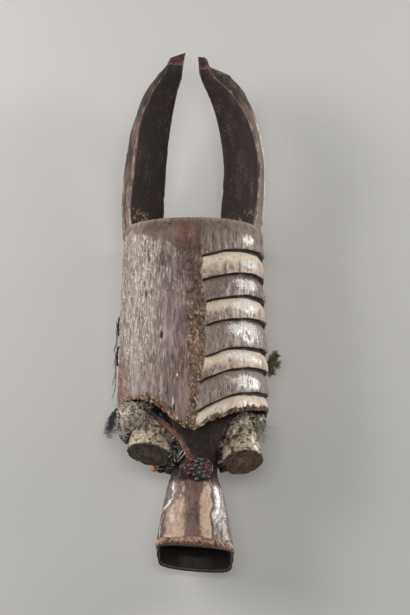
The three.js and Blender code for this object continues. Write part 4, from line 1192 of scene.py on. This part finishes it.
def horn_solid(name, horn, seed):
    rails, along = horn_rails(horn)
    rings = horn_rings(*rails, along)
    furrow = ridged(rings, [4, 34, 4], seed + 1)
    facets = 0.8 * fractal(rings, [10, 45, 10], seed, 2) - 0.45 * furrow + 0.2 * noise(rings, 2.6, seed + 2)
    columns = np.arange(rings.shape[1])
    outer_at, ridge_at, inner_at = np.cumsum(HORN_COUNTS)[[0, 2, 4]]
    ridge_near = bell(columns - ridge_at, 2.2)
    outer_near = bell(columns - outer_at, 2.2)
    inner_near = bell(columns - inner_at, 2.0)
    near_edges = ridge_near + outer_near + 0.7 * inner_near
    chips = ramp(0.25, 0.7, noise(rings, [14, 11, 14], seed + 3)) * near_edges
    fade = ((1 - 0.7 * ramp(0.93, 1, along)) * ramp(100, 125, rails[0][:, 1]))[:, None]
    rings = rings + outward(rings) * ((facets - 1.5 * chips) * fade)[..., None]
    rings = np.concatenate([rings, closing_rings(rings[-1], 5)])

    # Painted light and shade: the right horn's outer side is painted lighter and greyer as if it catches the
    # light, the left one's darker as if it stands in the dark
    right = rails[0][0, 0] > 0
    painted_side_shade, painted_lit_grey, side_gloss, side_ochre = (0.3, 0.8, 0.3, 0.2) if right else (0.5, 0.1, 0, 0.6)
    y = rings[..., 1]
    face = (columns > ridge_at + 1) & (columns < inner_at)
    outer_faces = columns < ridge_at
    at_tip = np.append(ramp(0.947, 0.955, along), np.ones(5))[:, None]
    tip_edge = np.append(bell(along - 0.948, 0.006), np.zeros(5))[:, None]
    near_dome = ramp(139, 125, y) * (columns > ridge_at - 2)
    towards_tip = ramp(215, 275, y)
    furrow = ridged(rings, [4, 34, 4], seed + 1)
    wear = np.maximum(0.8 * (ridge_near + 0.8 * outer_near) * (0.5 + 0.6 * noise(rings, [6, 9, 6], seed + 4)),
                      outer_faces * (0.36 + 0.5 * fractal(rings, [5, 22, 5], seed + 5)))
    wear = most(wear * (1 - 0.6 * at_tip), 0.8 * tip_edge, at_tip * (0.15 + 0.4 * noise(rings, 4, seed + 6)),
                0.7 * at_tip * (inner_near + ridge_near))
    cream = near_dome * ramp(-0.1, 0.4, noise(rings, [2.4, 2.4, 2.4], seed + 8)) * 0.65
    outer_dirt_and_painted_shade = painted_side_shade + 0.3 * towards_tip + 0.5 * fractal(rings, [4, 22, 4], seed + 12)
    # The inner faces are made dark all along
    inner_face_darkening = 0.8 + 0.3 * fractal(rings, [8, 22, 8], seed + 7)
    dirt = most(face * inner_face_darkening, outer_faces * outer_dirt_and_painted_shade, 0.5 * furrow)
    dirt = dirt * (1 - 0.9 * at_tip) + at_tip * (0.5 + 0.4 * fractal(rings, [4, 4, 4], seed + 13))
    dirt = dirt * (1 - 0.8 * tip_edge) * (1 - 0.7 * cream)
    red = 0.25 + 0.3 * noise(rings, 25, seed + 9) + 0.45 * at_tip
    grey = outer_faces * (1 - towards_tip) * painted_lit_grey * (0.4 + 0.4 * fractal(rings, [8, 30, 8], seed + 10))
    gloss = 0.25 + 0.3 * fractal(rings, [10, 30, 10], seed + 11) + side_gloss * outer_faces - 0.5 * face
    # Painted highlight: a pale strip along each horn's outer edge, long on the right horn and short by the
    # left one's root
    gloss_and_painted_highlight = bell(columns - outer_at - 2, 2.6) * (0.62 + 0.5 * fractal(rings, [5, 18, 5], seed + 14))
    gloss_and_painted_highlight = gloss_and_painted_highlight * (ramp(270, 235, y) if right else 0.7 * ramp(190, 150, y))
    marks = masks(y.shape, paint=(cream, dirt, wear), tone=(red, grey, gloss), coat=(gloss_and_painted_highlight, 0.5 * cream, 0),
                  mark=(0, side_ochre * outer_faces, 0))
    return grid_solid(name, rings, marks, WOOD)


# Eyes and sockets

# Each eye's end, axis, radii and length; its socket's and packing's radii by height; lumps of resin; looks,
# among them where and how strong the painted highlight streak is
LEFT_EYE = {
    "end": (-50, -179.5, 85), "axis": (-0.184, -0.951, 0.252), "base": 21.5, "radius": 27.5, "length": 68,
    "socket": [(-0.3, 36), (45, 36), (68, 37.5), (90, 40)],
    "packing": [(0.5, 35.4), (17, 36), (27, 35), (34, 31), (38, 25)],
    "lumps": [
        ((-22, -164, 78), (12, 31, 16)), ((-77, -138, 50), (11, 20, 20)), ((-66, -133, 90), (20, 17, 20)),
    ],
    "chalk": 0.58, "streak": (-0.75, 0.1), "pale_end": 0.1,
}
RIGHT_EYE = {
    "end": (60, -188.5, 84), "axis": (0.156, -0.917, 0.367), "base": 18.5, "radius": 25, "length": 70,
    "socket": [(-0.3, 28.5), (92, 33)],
    "packing": [(0.5, 27.6), (9, 28.4), (15, 27), (19, 22), (22, 18)],
    "lumps": [((37, -164, 74), (12, 32, 16)), ((81, -132, 52), (8, 12, 16))],
    "chalk": 0.5, "streak": (0.72, 1.1), "pale_end": 1.0,
}
EYE_CORNER = 3.5
LUMP_DOWN = (0.1, 0.3, 0.55)
# Hollow in the neck's left shoulder: y, then x and z of its upper edge and of its foot
SCOOP = [
    [-150, -33, 112, -37, 90], [-158, -23, 110, -34, 80], [-166, -15.5, 106, -31, 74],
    [-175, -9, 103, -28.5, 71], [-183, -3, 101, -27, 70], [-189, -3, 101, -27, 71],
    [-193, -8, 101, -28, 76], [-196, -19, 100, -31, 88],
]


def eye_axes(eye):
    along = unit(eye["axis"])
    across = unit(np.cross(along, (0, 0, 1)))
    return along, across, np.cross(across, along)


def on_axis(eye, radius, height, turns):
    """Points round an eye's axis: height counts from the socket's floor towards the cut end."""
    along, across, up = eye_axes(eye)
    base = np.asarray(eye["end"], float) - along * eye["length"]
    sideways = (radius * np.cos(turns))[..., None] * across + (radius * np.sin(turns))[..., None] * up
    return base + height[..., None] * along + sideways


def socket_solid(name, eye, seed):
    profile, turns = np.array(eye["socket"], float), steps_round(96)
    height = np.linspace(profile[0, 0], profile[-1, 0], 44)[:, None]
    rings = on_axis(eye, np.interp(height, *profile.T), height, turns)
    rings = rings + 0.6 * fractal(rings, 8, seed)[..., None] * unit(rings - on_axis(eye, 0, height, turns))
    return inner_marks(name, closing_rings(rings[0], 4)[::-1] + list(rings), 0.75, 0.4, 0.15, 0.4)


def scoop_solid():
    """Tool for the hollow in the neck's left shoulder."""
    t = np.linspace(0, 1, 24)
    sag = 2.5 * np.sin(np.pi * t)
    rings = []
    for y in np.linspace(-196, -150, 40):
        _, edge_x, edge_z, foot_x, foot_z = values_at(SCOOP, y)
        slope = stack(mix(foot_x, edge_x, t) + sag * 0.6, y, mix(foot_z, edge_z, t) - sag * 0.5)
        rings.append(np.concatenate([slope, [(edge_x, y, 126), (-60, y, 126), (-60, y, foot_z - 4)]]))
    rings = np.array(rings)
    rings[:, 1:23] += 0.5 * fractal(rings[:, 1:23], 7, 66)[..., None] * [-0.8, 0, 0.6]
    return inner_marks("scoop_tool", rings, 0.6, 0.4, 0.3, 0.4)


def eye_piece(name, eye, node, seed):
    """A branch section with a crusted side, a chipped corner and a cut end with rings and cracks."""
    length, turns = eye["length"], steps_round(120)
    corner_from = length - EYE_CORNER
    corner_rows = corner_from + EYE_CORNER * np.sin(np.linspace(0, np.pi / 2, 7)[1:])
    height = np.concatenate([np.linspace(0, corner_from, 56), corner_rows])[:, None]
    corner = np.clip((height - corner_from) / EYE_CORNER, 0, 1)
    radius = mix(eye["base"], eye["radius"], ramp(-10, length, height)) - 1.6 * (1 - np.sqrt(1 - corner ** 2))
    rings = on_axis(eye, radius, height, turns)
    away = unit(rings - on_axis(eye, 0, height, turns))
    crumbs = noise(rings, 3.6, seed + 10) * ramp(length - 10, length - 24, height)
    rough = 1.3 * fractal(rings, [13, 13, 13], seed) - 0.6 * ridged(rings, 8, seed + 1)
    pits = ramp(0.4, 0.7, noise(rings, 4, seed + 8))
    rough = rough + 0.6 * noise(rings, 2.8, seed + 2) - 1.3 * pits + 0.9 * crumbs
    chips = 2.0 * ramp(0.3, 0.75, noise(rings, 7, seed + 3)) * ramp(length - 7, length - 1.5, height)
    rings = rings + away * (rough - chips)[..., None]

    disc = np.array(closing_rings(rings[-1], 26))
    middle = rings[-1].mean(axis=0)
    from_pith = np.linalg.norm(disc - middle, axis=-1)
    cuts = 0.35 * np.sin(from_pith * 1.7 + 3 * noise(disc, 9, seed + 4)) + 0.9 * fractal(disc, 8, seed + 5)
    cracks = ridged(disc, 10, seed + 6) ** 2 * ramp(2, 8, from_pith)
    disc = disc + eye_axes(eye)[0] * (0.4 * cuts - 0.9 * cracks - 0.6)[..., None]
    everything = np.concatenate([rings, disc])

    on_end = np.broadcast_to(ramp(length - 2.2, length - 0.6, height), rings.shape[:2])
    end = np.concatenate([on_end, np.ones(disc.shape[:2])])
    ring = np.linalg.norm(everything - middle, axis=-1) * end
    facing = away[..., 2]
    chalk = eye["chalk"] + 0.2 * facing + 0.5 * fractal(rings, 10, seed + 7) + 0.5 * crumbs
    chalk = chalk - 0.45 * ramp(0.4, 0.65, noise(rings, 4, seed + 8))
    # Painted highlight: the crust is lifted towards white in a streak on the side where it catches the light
    highlight_at, strength = eye["streak"]
    streak = bell(away[..., 0] - highlight_at, 0.17) * ramp(0, 0.3, facing) * ramp(26, 38, height)
    chalk = chalk + strength * streak * ramp(-0.15, 0.3, fractal(rings, [2.4, 12, 2.4], seed + 9))
    chalk = np.concatenate([chalk, np.full(disc.shape[:2], eye["pale_end"])])
    made = grid_solid(name, everything, masks(end.shape, branch=(end, ring, chalk)), BRANCH)
    return finish_piece(made, node, slot="branch_wood")


def lump(name, centre, radii, seed, material, rough, rows, columns, **attributes):
    """An uneven ball; each attribute is worked out from the directions of its points."""
    theta, phi = np.linspace(0.06, np.pi - 0.06, rows)[:, None], steps_round(columns)
    ball = stack(np.sin(theta) * np.cos(phi), np.sin(theta) * np.sin(phi), np.cos(theta))
    size = float(np.mean(radii))
    swell = 1 + rough * fractal(ball * size, size * 0.55, seed)
    points = np.asarray(centre, float) + ball * radii * swell[..., None]
    points = points + ball * (0.9 * noise(points, 3.4, seed + 5) * min(1, size / 15))[..., None]
    return grid_solid(name, points, {key: make(ball) for key, make in attributes.items()}, material)


def packing_piece(name, eye, node, seed):
    """A collar of resin round an eye, with the eye's lumps joined to it."""
    profile = np.array(eye["packing"], float)
    deep = profile[-1, 0]
    spots = np.linspace(0, len(profile) - 1, 54)
    height, radius = [np.interp(spots, np.arange(len(profile)), column) for column in profile.T]
    height = np.concatenate([np.full(9, height[0]), height, np.full(9, deep)])[:, None]
    radius = [np.linspace(0.6, radius[0], 10)[:-1], radius, np.linspace(radius[-1], 0.6, 10)[1:]]
    rings = on_axis(eye, np.concatenate(radius)[:, None], height, steps_round(144))
    bulge = 3.2 * fractal(rings, 9, seed) + 1.2 * noise(rings, 3.4, seed + 1)
    rings = rings + eye_axes(eye)[0] * (bulge * ramp(0.4 * deep, 0.8 * deep, height))[..., None]
    down = ramp(60, 84, rings[..., 2]) * ramp(0.45 * deep, 0.7 * deep, height)
    if eye is LEFT_EYE:
        by_ridge = ramp(-62, -53, rings[..., 0])
        top = mix(200, 97.5 + 1.5 * noise(rings, 6, seed + 6), by_ridge)
        rings[..., 2] = np.minimum(rings[..., 2], top)
        down = down * (1 - by_ridge)
    collar = grid_solid(name, rings, {"down": down * (0.75 + 0.4 * fractal(rings, 14, seed + 2))}, RESIN)
    lumps = [
        lump(f"{name}_{i}", centre, radii, seed + 3 + i, RESIN, 0.24, 44, 64,
             down=lambda ball, pale=pale: pale + 0.3 * ball[..., 2])
        for i, ((centre, radii), pale) in enumerate(zip(eye["lumps"], LUMP_DOWN))
    ]
    combine(collar, lumps, "UNION")
    if eye is LEFT_EYE:
        combine(collar, [ridge_solid(RIDGE_CLEARANCE)], "DIFFERENCE")
    return finish_piece(collar, node, slot="resin")


# Strands: fibres, feathers, quills and cord

def bundle(name, tubes, material):
    """One mesh out of many closed tubes, with how far each point lies along its own strand."""
    points, quads, fans, along, count = [], [], [], [], 0
    for rings in tubes:
        rows, columns = rings.shape[:2]
        strand, sides, ends = closed_tube(rings)
        points.append(strand)
        quads.append(sides + count)
        fans.append(ends + count)
        along.append(with_centres(np.repeat(np.linspace(0, 1, rows), columns), columns))
        count += len(strand)
    faces = [np.concatenate(quads), np.concatenate(fans)]
    return make_mesh(name, np.concatenate(points), faces, {"along": np.concatenate(along)}, material)


def curl(start, direction, length, bend, steps, random):
    """A wandering path from a start."""
    heading = unit(direction)
    turn = unit(random.normal(size=3)) * bend
    path = [np.asarray(start, float)]
    for _ in range(steps):
        turn = turn + random.normal(size=3) * bend * 0.35
        heading = unit(heading + turn / steps)
        path.append(path[-1] + heading * length / steps)
    return np.array(path)


def fibres(name, material, clumps, seed):
    """Loose strands in clumps."""
    random = np.random.default_rng(seed)
    tubes = []
    for centre, spread, direction, scatter, length, radius, count, bend in clumps:
        for _ in range(count):
            start = np.asarray(centre, float) + random.uniform(-1, 1, 3) * spread
            heading = unit(np.asarray(direction, float) + random.normal(size=3) * scatter)
            path = curl(start, heading, length * random.uniform(0.6, 1.3), bend, 8, random)
            tubes.append(tube(path, radius * np.linspace(1, 0.35, 9), 3))
    return finish_piece(bundle(name, tubes, material), slot="resin")


def feather(root, reach, width, random, facing, pairs):
    """Shaft and barbs of one feather, as tubes."""
    root, reach = np.asarray(root, float), np.asarray(reach, float)
    length = np.linalg.norm(reach)
    direction = reach / length
    across = unit(np.cross(direction, facing))
    normal = np.cross(across, direction)
    sag = FEATHER_SAG * length
    t, part = np.linspace(0, 1, 14)[:, None], np.linspace(0, 1, 5)[:, None]
    shaft = root + t * reach + sag * np.sin(np.pi * t) * normal
    tubes = [tube(shaft, 0.55 * (1 - 0.7 * t[:, 0]), 5, 0.8, normal)]
    for k in range(pairs):
        at = mix(0.1, 0.97, k / (pairs - 1))
        start = root + at * reach + sag * math.sin(math.pi * at) * normal
        half = 0.5 * width * (0.45 + 0.9 * math.sin(math.pi * min(1, 0.12 + 0.85 * at)) ** 0.8)
        for side in (-1, 1):
            lean = random.uniform(0.7, 1.05)
            path = start + part * half * random.uniform(0.75, 1.15) * (side * across + lean * direction)
            path = path + part ** 2 * (normal * random.uniform(-0.9, 0.6) + direction * 0.8)
            tubes.append(tube(path, 0.62 * (1 - 0.6 * part[:, 0]), 3, 0.45, normal))
    return tubes


# Seeds, bead and resin on the neck

SEED_PAD = {"centre": (8, -199.5, 97.5), "radii": (17, 15, 6.5)}
SEED = {"count": 19, "spacing": 3.55, "radii": (2.85, 2.45, 2.45), "sink": 0.6}
RED_SEEDS = (5, 8, 9, 12, 13, 14, 16)
FLANK_LUMP = {"centre": (-26, -187, 54), "radii": (9, 8, 8)}
DARK_SEED = {"centre": (-36.5, -189, 53), "radii": (6.2, 4.6, 4.6)}
BEAD = {"centre": (-45, -188, 51), "radii": (3.9, 3.9, 3.9)}


def neck_top(x, y):
    _, centre, half, top, _ = values_at(MUZZLE, float(y))
    rise = NECK_ARCH * half
    across = min(1.0, abs(x - centre) / half)
    return top - rise + rise * math.sqrt(1 - across * across) ** ARCH_ROUND


def seed_places():
    """Sunflower spiral from the middle outwards."""
    (cx, cy, cz), (rx, ry, rz) = SEED_PAD["centre"], SEED_PAD["radii"]
    for i in range(SEED["count"]):
        turn = i * math.pi * (3 - math.sqrt(5))
        out = SEED["spacing"] * math.sqrt(i + 0.5)
        x, y = cx + out * math.cos(turn), cy + out * math.sin(turn) * 0.92
        height = rz * math.sqrt(max(0.05, 1 - ((x - cx) / rx) ** 2 - ((y - cy) / ry) ** 2))
        yield x, y, max(cz + height - SEED["sink"], neck_top(x, y) + SEED["radii"][2] + 0.3), turn * 1.7


def seed_piece(name, place, turn, radii, seed, material, node):
    """A seed or bead turned about the upright axis; its scar faces one end."""
    made = lump(name, (0, 0, 0), np.asarray(radii, float) * 0.99, seed, material, 0.05, 18, 26,
                scar=lambda ball: ramp(0.35, 1, ball @ unit((0.75, 0.1, 0.65))))
    points = np.empty(len(made.data.vertices) * 3)
    made.data.vertices.foreach_get("co", points)
    x, y, z = (points.reshape(-1, 3) / MM - SHIFT).T
    turned = stack(x * math.cos(turn) - y * math.sin(turn), x * math.sin(turn) + y * math.cos(turn), z)
    made.data.vertices.foreach_set("co", metres(turned + np.asarray(place)).ravel())
    made.data.update()
    return finish_piece(made, node, slot=node_slot(node), sharp=None)


def node_slot(node):
    if node.startswith("seed_") and node != "seed_pad":
        return "seed_red" if int(node[5:]) - 1 in RED_SEEDS else "seed_grey"
    return {"dark_seed_near": "dark_seed", "amber_bead": "amber"}[node]


def neck_pieces():
    for i, (x, y, z, turn) in enumerate(seed_places()):
        node = f"seed_{i + 1:02d}"
        material = SEED_RED if i in RED_SEEDS else SEED_GREY
        seed_piece(node + "_grain", (x, y, z), turn, SEED["radii"], 200 + i, material, node)
    pad = lump("seed_bed", SEED_PAD["centre"], SEED_PAD["radii"], 230, RESIN, 0.12, 40, 64,
               down=lambda ball: 0.12 + 0.2 * ball[..., 0])
    finish_piece(pad, "seed_pad", slot="resin")
    clump = lump("flank_lump", FLANK_LUMP["centre"], FLANK_LUMP["radii"], 231, RESIN, 0.2, 30, 44,
                 down=lambda ball: 0.15 + 0.2 * ball[..., 2])
    finish_piece(clump, "flank_resin", slot="resin")
    seed_piece("dark_seed", DARK_SEED["centre"], 0.2, DARK_SEED["radii"], 232, SEED_DARK, "dark_seed_near")
    seed_piece("orange_bead", BEAD["centre"], 0.4, BEAD["radii"], 233, AMBER, "amber_bead")


# Cord, feathers and quills

CORD = {"radius": 1.4, "holes": (2, -21, -36, -59), "height": 50, "clear": 0.8, "bend": 2.4}
FRINGE = [(-3, (-2, -42, 13)), (-14, (-3, -44, -9)), (-41, (-2.5, -46, 12)), (-52, (-3, -47, -10))]
TUFT_STEM = {"radius": 1.6, "length": 14}
LEFT_TUFT = (-89.5, -114, 48)
RIGHT_TUFT = (88.5, -55, 50)
LEFT_TUFT_FEATHERS = [(-8, -36, -5), (-11.5, -33, 3), (-5, -29, 8)]
RIGHT_TUFT_FEATHERS = [(13, 9, 6), (15, -4, 1), (6, -16, -3)]
FEATHER_SAG = 0.07
QUILLS = [
    ("white_quill_long", (-19.5, -186, 83.5), (-10.8, -177.4, 99.5), 1.3),
    ("white_quill_short", (-16, -186.5, 84.5), (-7.4, -180.6, 101.5), 1.1),
]


def stitch_path():
    """The cord's middle line, in and out through the holes of the left wall."""
    points = []
    away = CORD["radius"] + CORD["clear"]
    for i, y in enumerate(CORD["holes"]):
        outer, inner = left_wall(y)
        bend = -CORD["bend"] if i % 2 else CORD["bend"]
        leaving = [(inner + away, y + bend), (inner - 1.5, y), (outer + 1.5, y), (outer - away, y - bend)]
        points += [(x, at, CORD["height"]) for x, at in (leaving[::-1] if i % 2 else leaving)]
    return spline(points, np.linspace(0, 1, 150))


def cord_piece():
    """Two plies twisted round the cord's middle line."""
    path = stitch_path()
    across = unit(np.cross(unit(np.gradient(path, axis=0)), (0, 0, 1)))
    twist = np.linspace(0, 44 * np.pi, len(path))[:, None]
    offset = 0.62 * (np.cos(twist) * across + np.sin(twist) * np.array([0, 0, 1.0]))
    plies = [tube(path + side * offset, 0.85, 6) for side in (-1, 1)]
    finish_piece(bundle("stitched_cord", plies, CORD_FIBRE), "rim_cord", slot="cord")


def fringe_pieces(random):
    out = 2 * CORD["radius"] + CORD["clear"] + 1.9
    for i, (y, reach) in enumerate(FRINGE):
        root = (left_wall(y)[0] - out, y, CORD["height"])
        tubes = feather(root, reach, 5.6, random, (1, 0, 0), 22)
        made = bundle(f"fringe_{i + 1}", tubes, DARK_FEATHER)
        finish_piece(made, f"fringe_feather_{i + 1}", slot="dark_feather")


def tuft_piece(side, root, reaches, material, slot, width, random):
    """A stem in its hole in the wall, and two feathers for every reach."""
    sign = math.copysign(1, root[0])
    outer = np.array([root[0] + sign * 3.2, root[1], root[2]])
    stem = np.linspace(0, 1, 8)[:, None] * np.array([-sign * TUFT_STEM["length"], 0, 0]) + outer
    tubes = [tube(stem, TUFT_STEM["radius"], 10)]
    for reach in reaches:
        tubes += feather(outer - (sign * 0.6, 0, 0), np.asarray(reach) * 0.94, width, random, (0, 0, 1), 16)
        tubes += feather(outer, np.asarray(reach) * [0.8, 0.75, 0.4], width * 0.7, random, (0, 0, 1), 10)
    finish_piece(bundle(f"{side}_tuft", tubes, material), f"{side}_feathers", slot=slot)


def feather_pieces():
    random = np.random.default_rng(41)
    fringe_pieces(random)
    tuft_piece("left", LEFT_TUFT, LEFT_TUFT_FEATHERS, DARK_FEATHER, "dark_feather", 8, random)
    tuft_piece("right", RIGHT_TUFT, RIGHT_TUFT_FEATHERS, OLIVE_FEATHER, "olive_feather", 9, random)
    t = np.linspace(0, 1, 16)
    for name, start, end, radius in QUILLS:
        path = np.asarray(start) + t[:, None] * (np.asarray(end, float) - start)
        path = path + 0.4 * noise(path, 6, 240)[:, None] * [1, 0, 1]
        shaft = tube(path, radius * (1 - 0.4 * t) * 0.9, 8)
        finish_piece(bundle(name + "_shaft", [shaft], QUILL), name, slot="quill")


# Clumps of loose strands: centre, spread, main direction, its scatter, length, radius, count and bend
DARK_CLUMPS = [
    ((-84, -134, 62), (5, 12, 10), (-0.25, -0.6, 0.5), 0.5, 15, 0.42, 60, 1.4),
    ((-20, -168, 90), (5, 16, 4), (0.1, -0.7, 0.7), 0.7, 11, 0.4, 50, 1.6),
    ((34, -172, 84), (6, 16, 5), (0.2, -0.6, 0.8), 0.6, 9, 0.4, 50, 1.6),
    ((83, -138, 64), (4, 12, 10), (0.1, -0.6, 0.5), 0.5, 8, 0.38, 26, 2.4),
]
PALE_CLUMPS = [
    ((-66, -125, 106), (20, 4, 5), (0.1, 0.3, 0.7), 0.6, 9, 0.38, 90, 3.2),
    ((-66, -138, 104), (16, 11, 6), (-0.1, -0.7, 0.3), 0.7, 11, 0.38, 150, 3.2),
    ((-80, -144, 76), (5, 10, 12), (-0.1, -0.8, 0.3), 0.5, 12, 0.4, 36, 2.4),
    ((-19, -178, 92), (4, 9, 3), (0.1, -0.5, 0.8), 0.8, 9, 0.5, 26, 3.2),
    ((68, -142, 92), (11, 5, 4), (0.3, -0.8, 0.3), 0.5, 11, 0.45, 36, 2.6),
    ((82, -148, 80), (3, 12, 7), (0.0, -0.9, 0.1), 0.3, 14, 0.5, 44, 1.8),
]


# The carved block

def hole_tool(name, y, z, ends, radius):
    """Tool for a round hole across a side wall, from one end to the other."""
    turns = steps_round(24)
    rings = [stack(x, y + radius * np.cos(turns), z + radius * np.sin(turns)) for x in np.linspace(*ends, 6)]
    return inner_marks(name, rings, 0.85)


def left_wall(y):
    outer = 0.55 - half_width(y)
    return outer, outer + WALL


def carved_body():
    body = helmet_solid()
    horns = [horn_solid("left_horn", LEFT_HORN, 70), horn_solid("right_horn", RIGHT_HORN, 90)]
    combine(body, [muzzle_solid(), *horns], "UNION")
    sockets = [socket_solid("left_socket", LEFT_EYE, 110), socket_solid("right_socket", RIGHT_EYE, 112)]
    tools = [cavity_solid(), mouth_solid(), *sockets, scoop_solid()]
    for i, y in enumerate(CORD["holes"]):
        outer, inner = left_wall(y)
        tools.append(hole_tool(f"hole_{i}", y, CORD["height"], (outer - 6, inner + 8), CORD["radius"] + 1.2))
    for name, (x, y, z) in (("left_hole", LEFT_TUFT), ("right_hole", RIGHT_TUFT)):
        side = math.copysign(1, x)
        ends = sorted((x - side * 20, x + side * 8))
        tools.append(hole_tool(name, y, z, ends, TUFT_STEM["radius"] + 0.4))
    combine(body, tools, "DIFFERENCE")
    combine(body, [ridge_solid()], "UNION")
    return finish_piece(body, "mask_body", slot="dark_wood", sharp=math.radians(55))


carved_body()
eye_piece("left_eye_branch", LEFT_EYE, "left_eye", 120)
eye_piece("right_eye_branch", RIGHT_EYE, "right_eye", 140)
packing_piece("left_resin", LEFT_EYE, "left_eye_packing", 160)
packing_piece("right_resin", RIGHT_EYE, "right_eye_packing", 170)
fibres("dark_fibres", DARK_FIBRE, DARK_CLUMPS, 51)
fibres("pale_fibres", PALE_FIBRE, PALE_CLUMPS, 52)
neck_pieces()
cord_piece()
feather_pieces()


# Floor and light

def add_light(name, place, towards, size, power, colour=(1, 1, 1)):
    data = bpy.data.lights.new(name, "AREA")
    data.shape = "RECTANGLE"
    data.size, data.size_y = size
    data.energy = power
    data.color = colour
    light = bpy.data.objects.new(name, data)
    light.location = place
    light.rotation_euler = (Vector(towards) - Vector(place)).to_track_quat("-Z", "Y").to_euler()
    bpy.context.scene.collection.objects.link(light)


def add_stage():
    half = 6
    mesh = bpy.data.meshes.new("floor")
    corners = [(-half, -half, 0), (half, -half, 0), (half, half, 0), (-half, half, 0)]
    mesh.from_pydata(corners, [], [(0, 1, 2, 3)])
    s = Surface("pale_floor")
    mesh.materials.append(s.finish(Base_Color=0xC9C7C4, Roughness=0.85))
    floor = bpy.data.objects.new("floor", mesh)
    bpy.context.scene.collection.objects.link(floor)
    world = bpy.data.worlds.new("studio")
    world.use_nodes = True
    background = world.node_tree.nodes["Background"]
    background.inputs["Color"].default_value = (0.9, 0.95, 1, 1)
    background.inputs["Strength"].default_value = 0.14
    bpy.context.scene.world = world
    add_light("right_softbox", (1.5, 0.42, 0.3), (0, 0.05, 0.1), (0.5, 1.3), 29, (1, 0.98, 0.95))
    add_light("left_softbox", (-1.35, 0.4, 0.62), (0, 0.05, 0.1), (0.9, 1.2), 26, (1, 0.98, 0.96))
    add_light("top_softbox", (0, -0.3, 1.9), (0, -0.1, 0.08), (1.0, 0.7), 9)


add_stage()
bpy.context.scene.view_settings.view_transform = "Standard"
